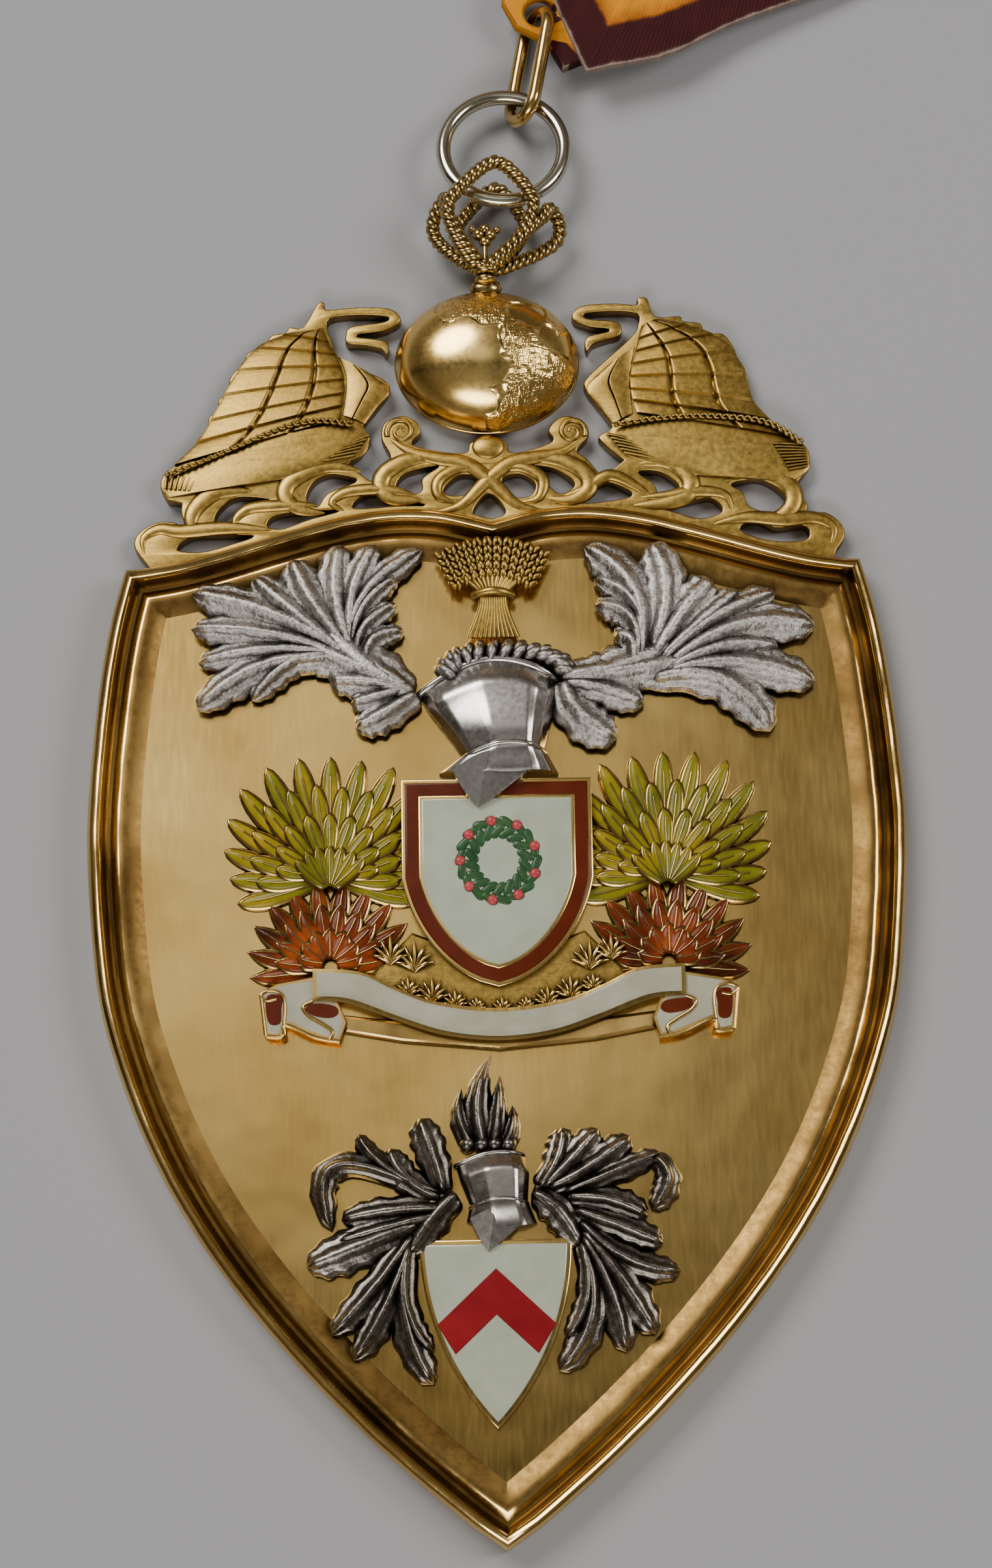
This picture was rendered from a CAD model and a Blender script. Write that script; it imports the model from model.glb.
"""Looks of the badge of office on its neck ribbon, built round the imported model."""
import math

import bpy
from mathutils import Matrix, Vector


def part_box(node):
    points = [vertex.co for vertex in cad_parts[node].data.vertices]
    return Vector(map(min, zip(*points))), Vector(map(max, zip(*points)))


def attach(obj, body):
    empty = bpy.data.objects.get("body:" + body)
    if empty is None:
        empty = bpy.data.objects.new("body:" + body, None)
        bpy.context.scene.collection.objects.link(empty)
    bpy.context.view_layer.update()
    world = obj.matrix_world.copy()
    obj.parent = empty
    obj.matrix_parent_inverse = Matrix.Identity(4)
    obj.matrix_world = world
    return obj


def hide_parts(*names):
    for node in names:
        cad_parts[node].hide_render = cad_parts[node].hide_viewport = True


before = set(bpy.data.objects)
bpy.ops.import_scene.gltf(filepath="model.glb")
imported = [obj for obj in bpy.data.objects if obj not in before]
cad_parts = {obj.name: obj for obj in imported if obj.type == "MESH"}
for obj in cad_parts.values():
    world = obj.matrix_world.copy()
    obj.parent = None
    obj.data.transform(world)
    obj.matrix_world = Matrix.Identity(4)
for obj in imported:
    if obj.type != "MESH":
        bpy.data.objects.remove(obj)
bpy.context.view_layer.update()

MM = 0.001

# Shield plate
SHIELD_WIDTH = 62.0 * MM
SHIELD_HEIGHT = 74.0 * MM
ARCH_RISE = 4.6 * MM
FIELD_LEVEL = 1.62 * MM
SEAT = 0.3 * MM
GROOVE_START = 1.05 * MM
GROOVE_END = 1.68 * MM
SLOPE_START = 2.42 * MM

# Gallery and globe
GALLERY_SPAN = 56.0 * MM
GALLERY_HEIGHT = 22.4 * MM
GALLERY_SHIFT = -0.2 * MM
GALLERY_THICKNESS = 1.3 * MM
GLOBE_RISE = 4.4 * MM
GLOBE_PLATE = 1.2 * MM

# Leaves
LEAF_REACH = 18.0 * MM
LEAF_FINE = (36, 30)
LEAF_RISE = 1.5 * MM

# Ribbon
RIBBON_WIDTH = 38.0 * MM
RIBBON_THICKNESS = 1.0 * MM
RIBBON_LIFT = 3.3 * MM
RIBBON_TIP = (8.2 * MM, 78.5 * MM)
LINK_EYE = (4.5 * MM, 84.4 * MM)
CLOTH_THICKNESS = 0.55 * MM
WAVE_X = 13.0 * MM
WAVE_WIDTH = 4.2 * MM
WAVE_REACH = 1.7 * MM
WAVE_RISE = 0.5 * MM
RIBBON_LEFT_ANGLE = 110.0
RIBBON_RIGHT_ANGLE = 22.0

# Sizes and places of the other pieces
LOOP_REACH = 100.0 * MM
CROWN_HEIGHT = 8.5 * MM
CROWN_WIDTH = 6.8 * MM
CROWN_DEPTH = 3.4 * MM
CROWN_SPREAD = 5.3 * MM
CROWN_WIRE = 0.84 * MM
CROWN_AXIS_Z = 3.3 * MM
CROWN_LEAN = 0.9 * MM
RING_OUTER = 10.9 * MM
RING_WIRE = 1.2 * MM
RING_TOP_Z = 2.2 * MM
LINK_PLACE = 20.0
LINK_WIDTH = 4.6 * MM
LINK_SLACK = 0.3 * MM
LINK_WIRE = 1.1 * MM
HELMET_WIDTH = 0.1823 * SHIELD_WIDTH
HELMET_HEIGHT = 0.1608 * SHIELD_HEIGHT
TORSE_WIDTH = 0.1645 * SHIELD_WIDTH
TORSE_HEIGHT = 0.04595 * SHIELD_HEIGHT
SHEAF_HEIGHT = 0.09595 * SHIELD_HEIGHT
SMALL_HELMET_WIDTH = 0.1065 * SHIELD_WIDTH
SMALL_HELMET_HEIGHT = 0.1027 * SHIELD_HEIGHT
ARMS_WIDTH = 0.2323 * SHIELD_WIDTH
ARMS_HEIGHT = 0.2162 * SHIELD_HEIGHT
SMALL_ARMS_WIDTH = 0.179 * SHIELD_WIDTH
SMALL_ARMS_HEIGHT = 0.1824 * SHIELD_HEIGHT
SPRAY_REACH = 0.1405 * SHIELD_HEIGHT
BLOSSOM_REACH = 0.1297 * SHIELD_HEIGHT
SCROLL_SPAN = 0.5806 * SHIELD_WIDTH
SCROLL_DROP = 0.07568 * SHIELD_HEIGHT
HELMET_FOOT = (0.0, 0.2338 * SHIELD_HEIGHT)
TORSE_FOOT = (0.01452 * SHIELD_WIDTH, 0.373 * SHIELD_HEIGHT)
SHEAF_FOOT = (0.0, 0.427 * SHIELD_HEIGHT)
ARMS_TOP = (0.0, 0.2662 * SHIELD_HEIGHT)
LEFT_LEAF_ROOT = (-0.1048 * SHIELD_WIDTH, 0.3635 * SHIELD_HEIGHT)
RIGHT_LEAF_ROOT = (0.08226 * SHIELD_WIDTH, 0.373 * SHIELD_HEIGHT)
SMALL_ARMS_TOP = (-0.008871 * SHIELD_WIDTH, -0.2027 * SHIELD_HEIGHT)
SMALL_HELMET_FOOT = (-0.006452 * SHIELD_WIDTH, -0.2176 * SHIELD_HEIGHT)
PLUME_FOOT = (-0.01613 * SHIELD_WIDTH, -0.1135 * SHIELD_HEIGHT)
LOWER_LEFT_ROOT = (-0.05968 * SHIELD_WIDTH, -0.1568 * SHIELD_HEIGHT)
LOWER_RIGHT_ROOT = (0.03387 * SHIELD_WIDTH, -0.1581 * SHIELD_HEIGHT)
LEFT_SPRAY_X = -0.2032 * SHIELD_WIDTH
RIGHT_SPRAY_X = 0.2056 * SHIELD_WIDTH
SPRAY_Y = 0.1676 * SHIELD_HEIGHT
BLOSSOM_Y = 0.07568 * SHIELD_HEIGHT
SCROLL_Y = 0.07027 * SHIELD_HEIGHT

SHIELD_SIDE = (
    # height, half width
    (0.000, 0.000),
    (0.022, 0.078),
    (0.090, 0.275),
    (0.207, 0.552),
    (0.352, 0.802),
    (0.500, 0.940),
    (0.573, 0.974),
    (0.677, 0.997),
    (0.740, 1.000),
    (0.847, 0.983),
    (0.937, 0.956),
    (1.000, 0.918),
)
SHIELD_ARCH = (
    # half width, rise
    (0.880, 0.00),
    (0.784, 0.11),
    (0.677, 0.30),
    (0.570, 0.52),
    (0.460, 0.74),
    (0.355, 0.91),
    (0.245, 1.00),
    (0.150, 0.98),
    (0.085, 0.90),
    (0.000, 0.74),
)
GALLERY_LEFT_SCROLL = (
    # shares of the gallery's half span and of its height, as in the five tables that follow
    (-0.965, 0.05), (-0.99, 0.10), (-0.98, 0.15), (-0.93, 0.19),
    (-0.88, 0.19), (-0.85, 0.17), (-0.86, 0.22), (-0.86, 0.26),
)
GALLERY_LEFT_SHIP = (
    (-0.90, 0.27), (-0.92, 0.32), (-0.91, 0.37), (-0.87, 0.41),
    (-0.84, 0.45), (-0.81, 0.50), (-0.79, 0.55), (-0.785, 0.585),
    (-0.76, 0.60), (-0.76, 0.645), (-0.73, 0.68), (-0.73, 0.72),
    (-0.71, 0.76), (-0.69, 0.77), (-0.68, 0.82), (-0.63, 0.855),
    (-0.61, 0.89), (-0.57, 0.90), (-0.56, 0.92), (-0.52, 0.92),
    (-0.48, 1.01), (-0.46, 1.01), (-0.455, 0.985), (-0.37, 0.992),
    (-0.285, 0.988), (-0.25, 0.965), (-0.247, 0.93), (-0.298, 0.899),
    (-0.36, 0.889), (-0.365, 0.878), (-0.34, 0.874), (-0.29, 0.862),
    (-0.278, 0.84), (-0.285, 0.805), (-0.30, 0.83), (-0.345, 0.846),
    (-0.395, 0.853), (-0.40, 0.885), (-0.385, 0.918), (-0.30, 0.932),
    (-0.277, 0.945), (-0.295, 0.957), (-0.37, 0.962), (-0.445, 0.95),
    (-0.45, 0.905), (-0.44, 0.87),
    (-0.42, 0.80), (-0.35, 0.75), (-0.30, 0.72), (-0.275, 0.68),
    (-0.31, 0.61), (-0.35, 0.54), (-0.33, 0.49), (-0.36, 0.43),
)
GALLERY_MIDDLE = (
    (-0.40, 0.39), (-0.37, 0.37), (-0.32, 0.33), (-0.29, 0.38),
    (-0.275, 0.42), (-0.30, 0.49), (-0.29, 0.55), (-0.24, 0.575),
    (-0.20, 0.55), (-0.19, 0.51), (-0.215, 0.475), (-0.19, 0.455),
    (-0.11, 0.435), (-0.06, 0.435), (-0.05, 0.47), (0.00, 0.49),
    (0.05, 0.47), (0.06, 0.435), (0.10, 0.435), (0.18, 0.47),
    (0.17, 0.51), (0.19, 0.55), (0.23, 0.565), (0.275, 0.535),
    (0.28, 0.485), (0.25, 0.435), (0.28, 0.40), (0.32, 0.33),
)
GALLERY_RIGHT_SHIP = (
    (0.38, 0.395), (0.31, 0.48), (0.35, 0.52), (0.31, 0.60),
    (0.275, 0.67), (0.29, 0.72), (0.41, 0.86), (0.43, 0.905),
    (0.43, 0.95), (0.37, 0.962), (0.295, 0.957), (0.277, 0.945),
    (0.30, 0.932), (0.37, 0.922), (0.385, 0.892), (0.376, 0.866),
    (0.345, 0.856), (0.30, 0.835), (0.285, 0.805), (0.278, 0.84),
    (0.29, 0.868), (0.34, 0.882), (0.348, 0.888), (0.34, 0.896),
    (0.298, 0.903), (0.247, 0.93), (0.25, 0.965), (0.285, 0.988),
    (0.37, 0.992), (0.43, 0.985),
    (0.43, 1.01), (0.46, 1.01), (0.48, 0.94), (0.55, 0.94),
    (0.56, 0.92), (0.61, 0.91), (0.62, 0.87), (0.67, 0.87),
    (0.70, 0.82), (0.71, 0.78), (0.73, 0.735), (0.74, 0.67),
    (0.75, 0.615), (0.78, 0.565), (0.83, 0.50), (0.87, 0.465),
    (0.90, 0.42), (0.90, 0.36),
)
GALLERY_RIGHT_SCROLL = (
    (0.86, 0.295), (0.87, 0.26), (0.89, 0.22), (0.89, 0.19),
    (0.94, 0.19), (0.98, 0.15), (0.99, 0.10), (0.965, 0.05),
)
GALLERY_HOLES = (
    ((-0.87, 0.09), (-0.83, 0.135), (-0.76, 0.14), (-0.66, 0.135), (-0.71, 0.11), (-0.80, 0.08)),
    ((-0.765, 0.19), (-0.75, 0.24), (-0.70, 0.28), (-0.615, 0.265), (-0.69, 0.23), (-0.72, 0.17)),
    ((-0.62, 0.175), (-0.58, 0.215), (-0.42, 0.225), (-0.50, 0.195), (-0.58, 0.16)),
    ((-0.51, 0.27), (-0.49, 0.33), (-0.44, 0.36), (-0.37, 0.335), (-0.45, 0.29), (-0.48, 0.24)),
    ((-0.38, 0.235), (-0.34, 0.285), (-0.27, 0.27), (-0.18, 0.24), (-0.28, 0.235)),
    ((-0.26, 0.31), (-0.23, 0.36), (-0.14, 0.385), (-0.185, 0.34), (-0.19, 0.29), (-0.24, 0.285)),
    ((-0.125, 0.30), (-0.08, 0.35), (-0.03, 0.335), (-0.06, 0.28), (-0.11, 0.275)),
    ((-0.045, 0.21), (0.00, 0.28), (0.045, 0.21), (0.00, 0.185)),
    ((0.04, 0.335), (0.09, 0.35), (0.13, 0.31), (0.11, 0.265), (0.05, 0.275)),
    ((0.10, 0.375), (0.18, 0.37), (0.24, 0.31), (0.20, 0.275), (0.16, 0.315)),
    ((0.19, 0.24), (0.26, 0.265), (0.33, 0.315), (0.40, 0.265), (0.30, 0.24)),
    ((0.42, 0.35), (0.48, 0.35), (0.53, 0.30), (0.52, 0.26), (0.48, 0.26), (0.46, 0.31)),
    ((0.44, 0.235), (0.54, 0.235), (0.62, 0.25), (0.65, 0.20), (0.59, 0.175), (0.52, 0.20)),
    ((0.68, 0.30), (0.76, 0.315), (0.83, 0.25), (0.80, 0.195), (0.73, 0.215), (0.71, 0.27)),
    ((0.70, 0.13), (0.74, 0.165), (0.80, 0.135), (0.88, 0.14), (0.88, 0.09), (0.78, 0.09)),
)
UPPER_LEFT_LEAVES = (
    # root, bend and tip from the cluster's root, then the width, all in shares of the leaf reach
    (0.00, 0.00, -0.13, 0.07, -0.26, 0.19, 0.14),
    (-0.28, 0.17, -0.58, 0.38, -0.93, 0.44, 0.13),
    (-0.32, 0.17, -0.62, 0.28, -0.93, 0.28, 0.11),
    (-0.32, 0.16, -0.62, 0.21, -0.90, 0.13, 0.10),
    (-0.32, 0.14, -0.67, 0.17, -0.90, -0.08, 0.12),
    (-0.34, 0.15, -0.52, 0.17, -0.67, -0.04, 0.09),
    (-0.25, 0.14, -0.48, 0.33, -0.67, 0.51, 0.13),
    (-0.25, 0.17, -0.44, 0.39, -0.50, 0.59, 0.13),
    (-0.24, 0.17, -0.36, 0.41, -0.29, 0.66, 0.13),
    (-0.25, 0.21, -0.28, 0.45, -0.14, 0.65, 0.11),
    (-0.25, 0.25, -0.23, 0.47, 0.06, 0.63, 0.10),
    (-0.24, 0.21, -0.23, 0.39, -0.05, 0.50, 0.08),
    (-0.22, 0.17, -0.23, 0.29, -0.05, 0.38, 0.08),
    (-0.18, 0.12, -0.20, 0.25, -0.02, 0.26, 0.08),
    (-0.01, 0.00, -0.18, 0.04, -0.34, 0.04, 0.10),
    (0.00, 0.00, -0.14, -0.04, -0.25, -0.06, 0.09),
    (0.03, -0.02, -0.07, -0.10, -0.23, -0.17, 0.11),
)
UPPER_RIGHT_LEAVES = (
    (0.00, 0.00, 0.14, 0.02, 0.36, 0.05, 0.14),
    (0.32, 0.10, 0.43, 0.41, 0.11, 0.59, 0.14),
    (0.39, 0.12, 0.52, 0.42, 0.39, 0.60, 0.14),
    (0.34, 0.07, 0.40, 0.38, 0.15, 0.44, 0.10),
    (0.32, 0.06, 0.37, 0.32, 0.15, 0.32, 0.10),
    (0.30, 0.05, 0.34, 0.20, 0.23, 0.18, 0.11),
    (0.39, 0.07, 0.53, 0.32, 0.66, 0.43, 0.14),
    (0.42, 0.07, 0.61, 0.25, 0.77, 0.38, 0.10),
    (0.43, 0.06, 0.64, 0.29, 0.93, 0.37, 0.11),
    (0.45, 0.04, 0.77, 0.31, 1.09, 0.21, 0.14),
    (0.45, 0.02, 0.70, 0.18, 0.93, 0.12, 0.12),
    (0.45, 0.01, 0.76, 0.12, 1.08, -0.04, 0.14),
    (0.38, -0.02, 0.73, 0.09, 0.88, -0.25, 0.14),
    (0.01, -0.03, 0.17, -0.03, 0.35, -0.12, 0.11),
    (0.01, -0.01, 0.03, -0.18, 0.23, -0.27, 0.14),
)
LOWER_LEFT_LEAVES = (
    (0.02, 0.00, -0.08, -0.08, -0.18, -0.25, 0.12),
    (-0.04, 0.00, -0.32, 0.09, -0.38, 0.25, 0.07),
    (-0.14, 0.03, -0.64, 0.28, -0.49, -0.14, 0.09),
    (-0.04, -0.02, -0.23, 0.05, -0.25, 0.19, 0.10),
    (-0.03, 0.00, -0.08, 0.17, -0.13, 0.31, 0.11),
    (0.00, -0.06, -0.25, -0.05, -0.45, -0.10, 0.10),
    (-0.02, -0.08, -0.25, -0.13, -0.47, -0.19, 0.09),
    (-0.13, -0.12, -0.36, -0.20, -0.59, -0.29, 0.14),
    (-0.16, -0.16, -0.27, -0.35, -0.49, -0.56, 0.11),
    (-0.17, -0.19, -0.25, -0.47, -0.40, -0.66, 0.10),
    (-0.18, -0.22, -0.25, -0.52, -0.08, -0.76, 0.11),
    (-0.19, -0.27, -0.22, -0.52, -0.08, -0.63, 0.08),
)
LOWER_RIGHT_LEAVES = (
    (0.00, 0.00, 0.11, -0.02, 0.20, -0.22, 0.12),
    (0.13, 0.00, 0.34, 0.08, 0.53, 0.16, 0.08),
    (0.50, 0.14, 0.62, 0.07, 0.49, -0.07, 0.09),
    (0.07, 0.02, 0.23, 0.08, 0.41, 0.23, 0.11),
    (0.05, 0.02, 0.16, 0.12, 0.28, 0.26, 0.11),
    (0.03, 0.02, 0.14, 0.14, 0.13, 0.27, 0.10),
    (0.14, -0.02, 0.33, 0.00, 0.47, -0.10, 0.10),
    (0.17, -0.07, 0.36, -0.13, 0.53, -0.21, 0.10),
    (0.19, -0.11, 0.36, -0.31, 0.60, -0.32, 0.10),
    (0.20, -0.15, 0.36, -0.33, 0.49, -0.57, 0.12),
    (0.20, -0.17, 0.34, -0.38, 0.37, -0.64, 0.11),
    (0.19, -0.19, 0.33, -0.50, 0.10, -0.71, 0.11),
    (0.20, -0.22, 0.27, -0.44, 0.13, -0.58, 0.08),
)
HELMET_ROWS = (
    # left, right, height of the two ends, upward bow in the middle, relief
    (-0.52, 0.44, 0.79, 0.88, 0.17, 0.55),
    (-0.44, 0.42, 0.66, 0.72, 0.10, 0.90),
    (-0.30, 0.36, 0.48, 0.52, 0.02, 1.00),
    (-0.22, 0.33, 0.36, 0.40, 0.00, 0.95),
    (-0.38, 0.42, 0.25, 0.24, -0.02, 0.80),
)
SMALL_HELMET_ROWS = (
    (-0.46, 0.30, 0.88, 0.98, 0.06, 0.60),
    (-0.40, 0.36, 0.70, 0.78, 0.05, 1.00),
    (-0.30, 0.34, 0.48, 0.52, 0.00, 1.00),
    (-0.34, 0.44, 0.32, 0.30, -0.06, 0.75),
)
RIBBON_ROUTE = (
    # x, y in shares of the loop's reach, lean from flat in degrees
    (0.72, 1.34, 4.0),
    (1.03, 1.75, 25.0),
    (1.22, 2.28, 60.0),
    (1.27, 2.88, 84.0),
    (1.12, 3.42, 90.0),
    (0.73, 3.80, 90.0),
    (0.20, 3.93, 90.0),
    (-0.30, 3.77, 90.0),
    (-0.61, 3.34, 88.0),
    (-0.61, 2.80, 76.0),
    (-0.40, 2.26, 48.0),
    (-0.16, 1.82, 18.0),
)
RIBBON_TONGUE = (
    # x, y from the ribbon's point, in shares of the ribbon's width
    (-0.050, 0.020),
    (-0.085, 0.085),
    (-0.150, 0.122),
    (-0.178, 0.180),
    (-0.170, 0.240),
    (-0.020, 0.250),
    (0.050, 0.250),
    (0.050, 0.060),
)
# Places on the scroll: x in shares of its half span, y in shares of its drop
SCROLL_TOP = ((0.0, -0.57), (0.26, -0.47), (0.43, -0.27), (0.58, -0.05), (0.77, 0.00))
SCROLL_FOOT = ((0.77, -0.43), (0.63, -0.47), (0.43, -0.71), (0.23, -0.92), (0.0, -1.0))
SCROLL_TAIL = (
    (0.74, -0.08), (0.92, -0.18), (0.99, -0.30), (0.97, -0.88), (0.90, -0.92),
    (0.88, -0.74), (0.72, -0.95), (0.66, -0.98), (0.63, -0.72), (0.66, -0.48),
)
SCROLL_LIP = ((0.0, -0.90), (0.40, -0.70), (0.66, -0.60), (0.64, -0.84), (0.40, -0.98), (0.0, -1.10))


def clear_selection():
    """Leave edit mode and select nothing."""
    if bpy.context.object and bpy.context.object.mode != "OBJECT":
        bpy.ops.object.mode_set(mode="OBJECT")
    bpy.ops.object.select_all(action="DESELECT")


def pick(piece):
    """Make one piece the only selected and active one."""
    clear_selection()
    piece.select_set(True)
    bpy.context.view_layer.objects.active = piece


def paint(piece, *materials):
    """Give a piece its materials in order and return it."""
    piece.data.materials.clear()
    for material in materials:
        piece.data.materials.append(material)
    return piece


def smooth(piece, angle):
    """Shade a piece smooth but for its sharper edges."""
    pick(piece)
    bpy.ops.object.shade_smooth_by_angle(angle=math.radians(angle), keep_sharp_edges=False)


def join(name, pieces):
    """Join pieces into the first and name it."""
    clear_selection()
    for piece in pieces:
        piece.select_set(True)
    bpy.context.view_layer.objects.active = pieces[0]
    if len(pieces) > 1:
        bpy.ops.object.join()
    pieces[0].name = name
    return pieces[0]


def settle(piece, nodes):
    """Ride on the badge and stand for the plain pieces that it dresses."""
    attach(piece, "root")
    if nodes:
        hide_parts(*nodes)
    return piece


def smooth_line(points, steps, closed=False):
    """Points of a smooth line through the given ones."""
    count = len(points)
    line = []
    for span in range(count if closed else count - 1):
        if closed:
            a, b, c, d = (points[(span + k) % count] for k in (-1, 0, 1, 2))
        else:
            b, c = points[span], points[span + 1]
            a = points[span - 1] if span > 0 else b
            d = points[span + 2] if span + 2 < count else c
        for step in range(steps):
            t = step / steps
            line.append(tuple(
                0.5 * (2 * q + (r - p) * t + (2 * p - 5 * q + 4 * r - s) * t * t
                       + (3 * q - p - 3 * r + s) * t ** 3)
                for p, q, r, s in zip(a, b, c, d)
            ))
    if not closed:
        line.append(tuple(points[-1]))
    return line


def blend(first, second, share):
    """The place at a share of the way from one point to another."""
    return tuple(a + (b - a) * share for a, b in zip(first, second))


def even_spans(points, count):
    """For points at even distances along a line, the span of each and its share of that span."""
    marks = [0.0]
    for a, b in zip(points, points[1:]):
        marks.append(marks[-1] + math.dist(a, b))
    spans = []
    span = 0
    for k in range(count):
        mark = marks[-1] * k / (count - 1)
        while span < len(points) - 2 and marks[span + 1] < mark:
            span += 1
        length = max(1e-12, marks[span + 1] - marks[span])
        spans.append((span, min(1.0, max(0.0, (mark - marks[span]) / length))))
    return spans


def even_line(points, count):
    """Points at even distances along a line."""
    return [blend(points[i], points[i + 1], t) for i, t in even_spans(points, count)]


def across_lines(low, high, u, v):
    """The place at a share across two lines of as many points and at a share along them."""
    spot = v * (len(low) - 1)
    i = min(len(low) - 2, int(spot))
    t = spot - i
    return blend(blend(low[i], low[i + 1], t), blend(high[i], high[i + 1], t), u)


def between(table, place):
    """Read a table of rows at any place along its first column."""
    for low, high in zip(table, table[1:]):
        if place <= high[0]:
            return blend(low[1:], high[1:], (place - low[0]) / (high[0] - low[0]))
    return table[-1][1:]


def counter_clockwise(points):
    """The same outline, running counter-clockwise."""
    area = sum(a[0] * b[1] - b[0] * a[1] for a, b in zip(points, points[1:] + points[:1]))
    return points if area > 0 else points[::-1]


def inwards(points, distance):
    """Move an outline inwards by a distance."""
    points = counter_clockwise(list(points))
    count = len(points)
    moved = []
    for i in range(count):
        here = Vector(points[i])
        before = (here - Vector(points[i - 1])).normalized()
        after = (Vector(points[(i + 1) % count]) - here).normalized()
        n1 = Vector((-before.y, before.x))
        n2 = Vector((-after.y, after.x))
        moved.append(tuple(here + (n1 + n2) / max(0.35, 1.0 + n1.dot(n2)) * distance))
    return moved


def circle(centre, width, height, count):
    """Points round an ellipse, from its half width and half height."""
    angles = [2 * math.pi * k / count for k in range(count)]
    return [(centre[0] + width * math.cos(a), centre[1] + height * math.sin(a)) for a in angles]


def mirrored(right):
    """An outline from its right half."""
    return right + [(-x, y) for x, y in reversed(right) if x > 1e-9]


def placed(root, shares, scale):
    """Points measured from a root, each by its two shares of a length."""
    return [(root[0] + x * scale, root[1] + y * scale) for x, y in zip(shares[::2], shares[1::2])]


def middle_and_half(node):
    """Middle and half size of a plain piece, across and along."""
    low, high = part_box(node)
    return [(low[i] + high[i]) / 2 for i in (0, 1)] + [(high[i] - low[i]) / 2 for i in (0, 1)]


def weld(piece, distance, outward=True):
    """Weld a piece's doubled points and turn its faces outwards."""
    pick(piece)
    bpy.ops.object.mode_set(mode="EDIT")
    bpy.ops.mesh.select_all(action="SELECT")
    bpy.ops.mesh.remove_doubles(threshold=distance)
    if outward:
        bpy.ops.mesh.normals_make_consistent(inside=False)
    bpy.ops.object.mode_set(mode="OBJECT")
    return piece


def disc(name, outline, level):
    """A flat face whose edge follows an outline."""
    outline = counter_clockwise(list(outline))
    clear_selection()
    bpy.ops.mesh.primitive_circle_add(vertices=len(outline), radius=MM, fill_type="NGON")
    piece = bpy.context.object
    piece.name = name
    for vertex, (x, y) in zip(piece.data.vertices, outline):
        vertex.co = (x, y, level)
    return piece


def shrink(points, distance):
    """Move an outline inwards little by little and close up the edges that vanish."""
    ring = [Vector(point) for point in points]
    steps = max(1, math.ceil(distance / (0.12 * MM)))
    for _ in range(steps):
        spots = [ring[0]]
        owners = [0] * len(ring)
        for i, point in enumerate(ring[1:], 1):
            if (point - spots[-1]).length > 0.004 * MM:
                spots.append(point)
            owners[i] = len(spots) - 1
        if len(spots) > 1 and (spots[-1] - spots[0]).length <= 0.004 * MM:
            spots.pop()
            owners = [owner % len(spots) for owner in owners]
        moved = inwards([tuple(spot) for spot in spots], distance / steps)
        for i in range(len(spots)):
            j = (i + 1) % len(spots)
            before = spots[j] - spots[i]
            after = Vector(moved[j]) - Vector(moved[i])
            if before.dot(after) <= 0.0:
                middle = tuple((Vector(moved[i]) + Vector(moved[j])) / 2)
                moved[i] = middle
                moved[j] = middle
        ring = [Vector(moved[owner]) for owner in owners]
    return [tuple(point) for point in ring]


def raised(name, outline, level, steps):
    """A body over an outline, raised step by step: each one's width inwards and its height."""
    base = counter_clockwise(list(outline))
    piece = disc(name, base, level)
    pick(piece)
    bpy.ops.object.mode_set(mode="EDIT")
    bpy.ops.mesh.select_all(action="SELECT")
    for width, height in steps:
        level += height
        bpy.ops.object.mode_set(mode="EDIT")
        bpy.ops.mesh.extrude_region_move()
        bpy.ops.object.mode_set(mode="OBJECT")
        last = base
        base = shrink(base, width) if width else base
        for vertex in piece.data.vertices:
            if vertex.select:
                x, y, _ = vertex.co
                i = min(range(len(last)), key=lambda k: (last[k][0] - x) ** 2 + (last[k][1] - y) ** 2)
                vertex.co = (*base[i], level)
    return weld(piece, 0.001 * MM)


def cut_sheet(name, outlines, level, thickness, bevel):
    """A flat sheet with soft edges, pierced by every outline after the first."""
    clear_selection()
    shape = bpy.data.curves.new(name, "CURVE")
    shape.dimensions = "2D"
    shape.fill_mode = "BOTH"
    for outline in outlines:
        spline = shape.splines.new("POLY")
        spline.points.add(len(outline) - 1)
        for point, (x, y) in zip(spline.points, outline):
            point.co = (x, y, 0.0, 1.0)
        spline.use_cyclic_u = True
    shape.extrude = thickness / 2 - bevel
    shape.bevel_depth = bevel
    shape.bevel_resolution = 2
    shape.offset = -bevel
    piece = bpy.data.objects.new(name, shape)
    bpy.context.scene.collection.objects.link(piece)
    piece.location.z = level + thickness / 2
    pick(piece)
    bpy.ops.object.convert(target="MESH")
    piece = bpy.context.object
    bpy.ops.object.transform_apply(location=True)
    return weld(piece, 0.001 * MM, outward=False)


def stroke(name, points, radii, sides=3, closed=False, flat=1.0):
    """A rod along points in space, as thick as its radii say."""
    clear_selection()
    shape = bpy.data.curves.new(name, "CURVE")
    shape.dimensions = "3D"
    shape.bevel_depth = 1.0
    shape.bevel_resolution = sides
    shape.use_fill_caps = True
    spline = shape.splines.new("POLY")
    spline.points.add(len(points) - 1)
    spline.use_cyclic_u = closed
    for i, (point, place) in enumerate(zip(spline.points, points)):
        point.co = (*place, 1.0)
        point.radius = radii if isinstance(radii, float) else radii[i]
    piece = bpy.data.objects.new(name, shape)
    bpy.context.scene.collection.objects.link(piece)
    pick(piece)
    bpy.ops.object.convert(target="MESH")
    piece = bpy.context.object
    if flat != 1.0:
        middle = sum(place[2] for place in points) / len(points)
        for vertex in piece.data.vertices:
            vertex.co.z = middle + (vertex.co.z - middle) * flat
    bpy.ops.object.shade_smooth()
    return piece


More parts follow.
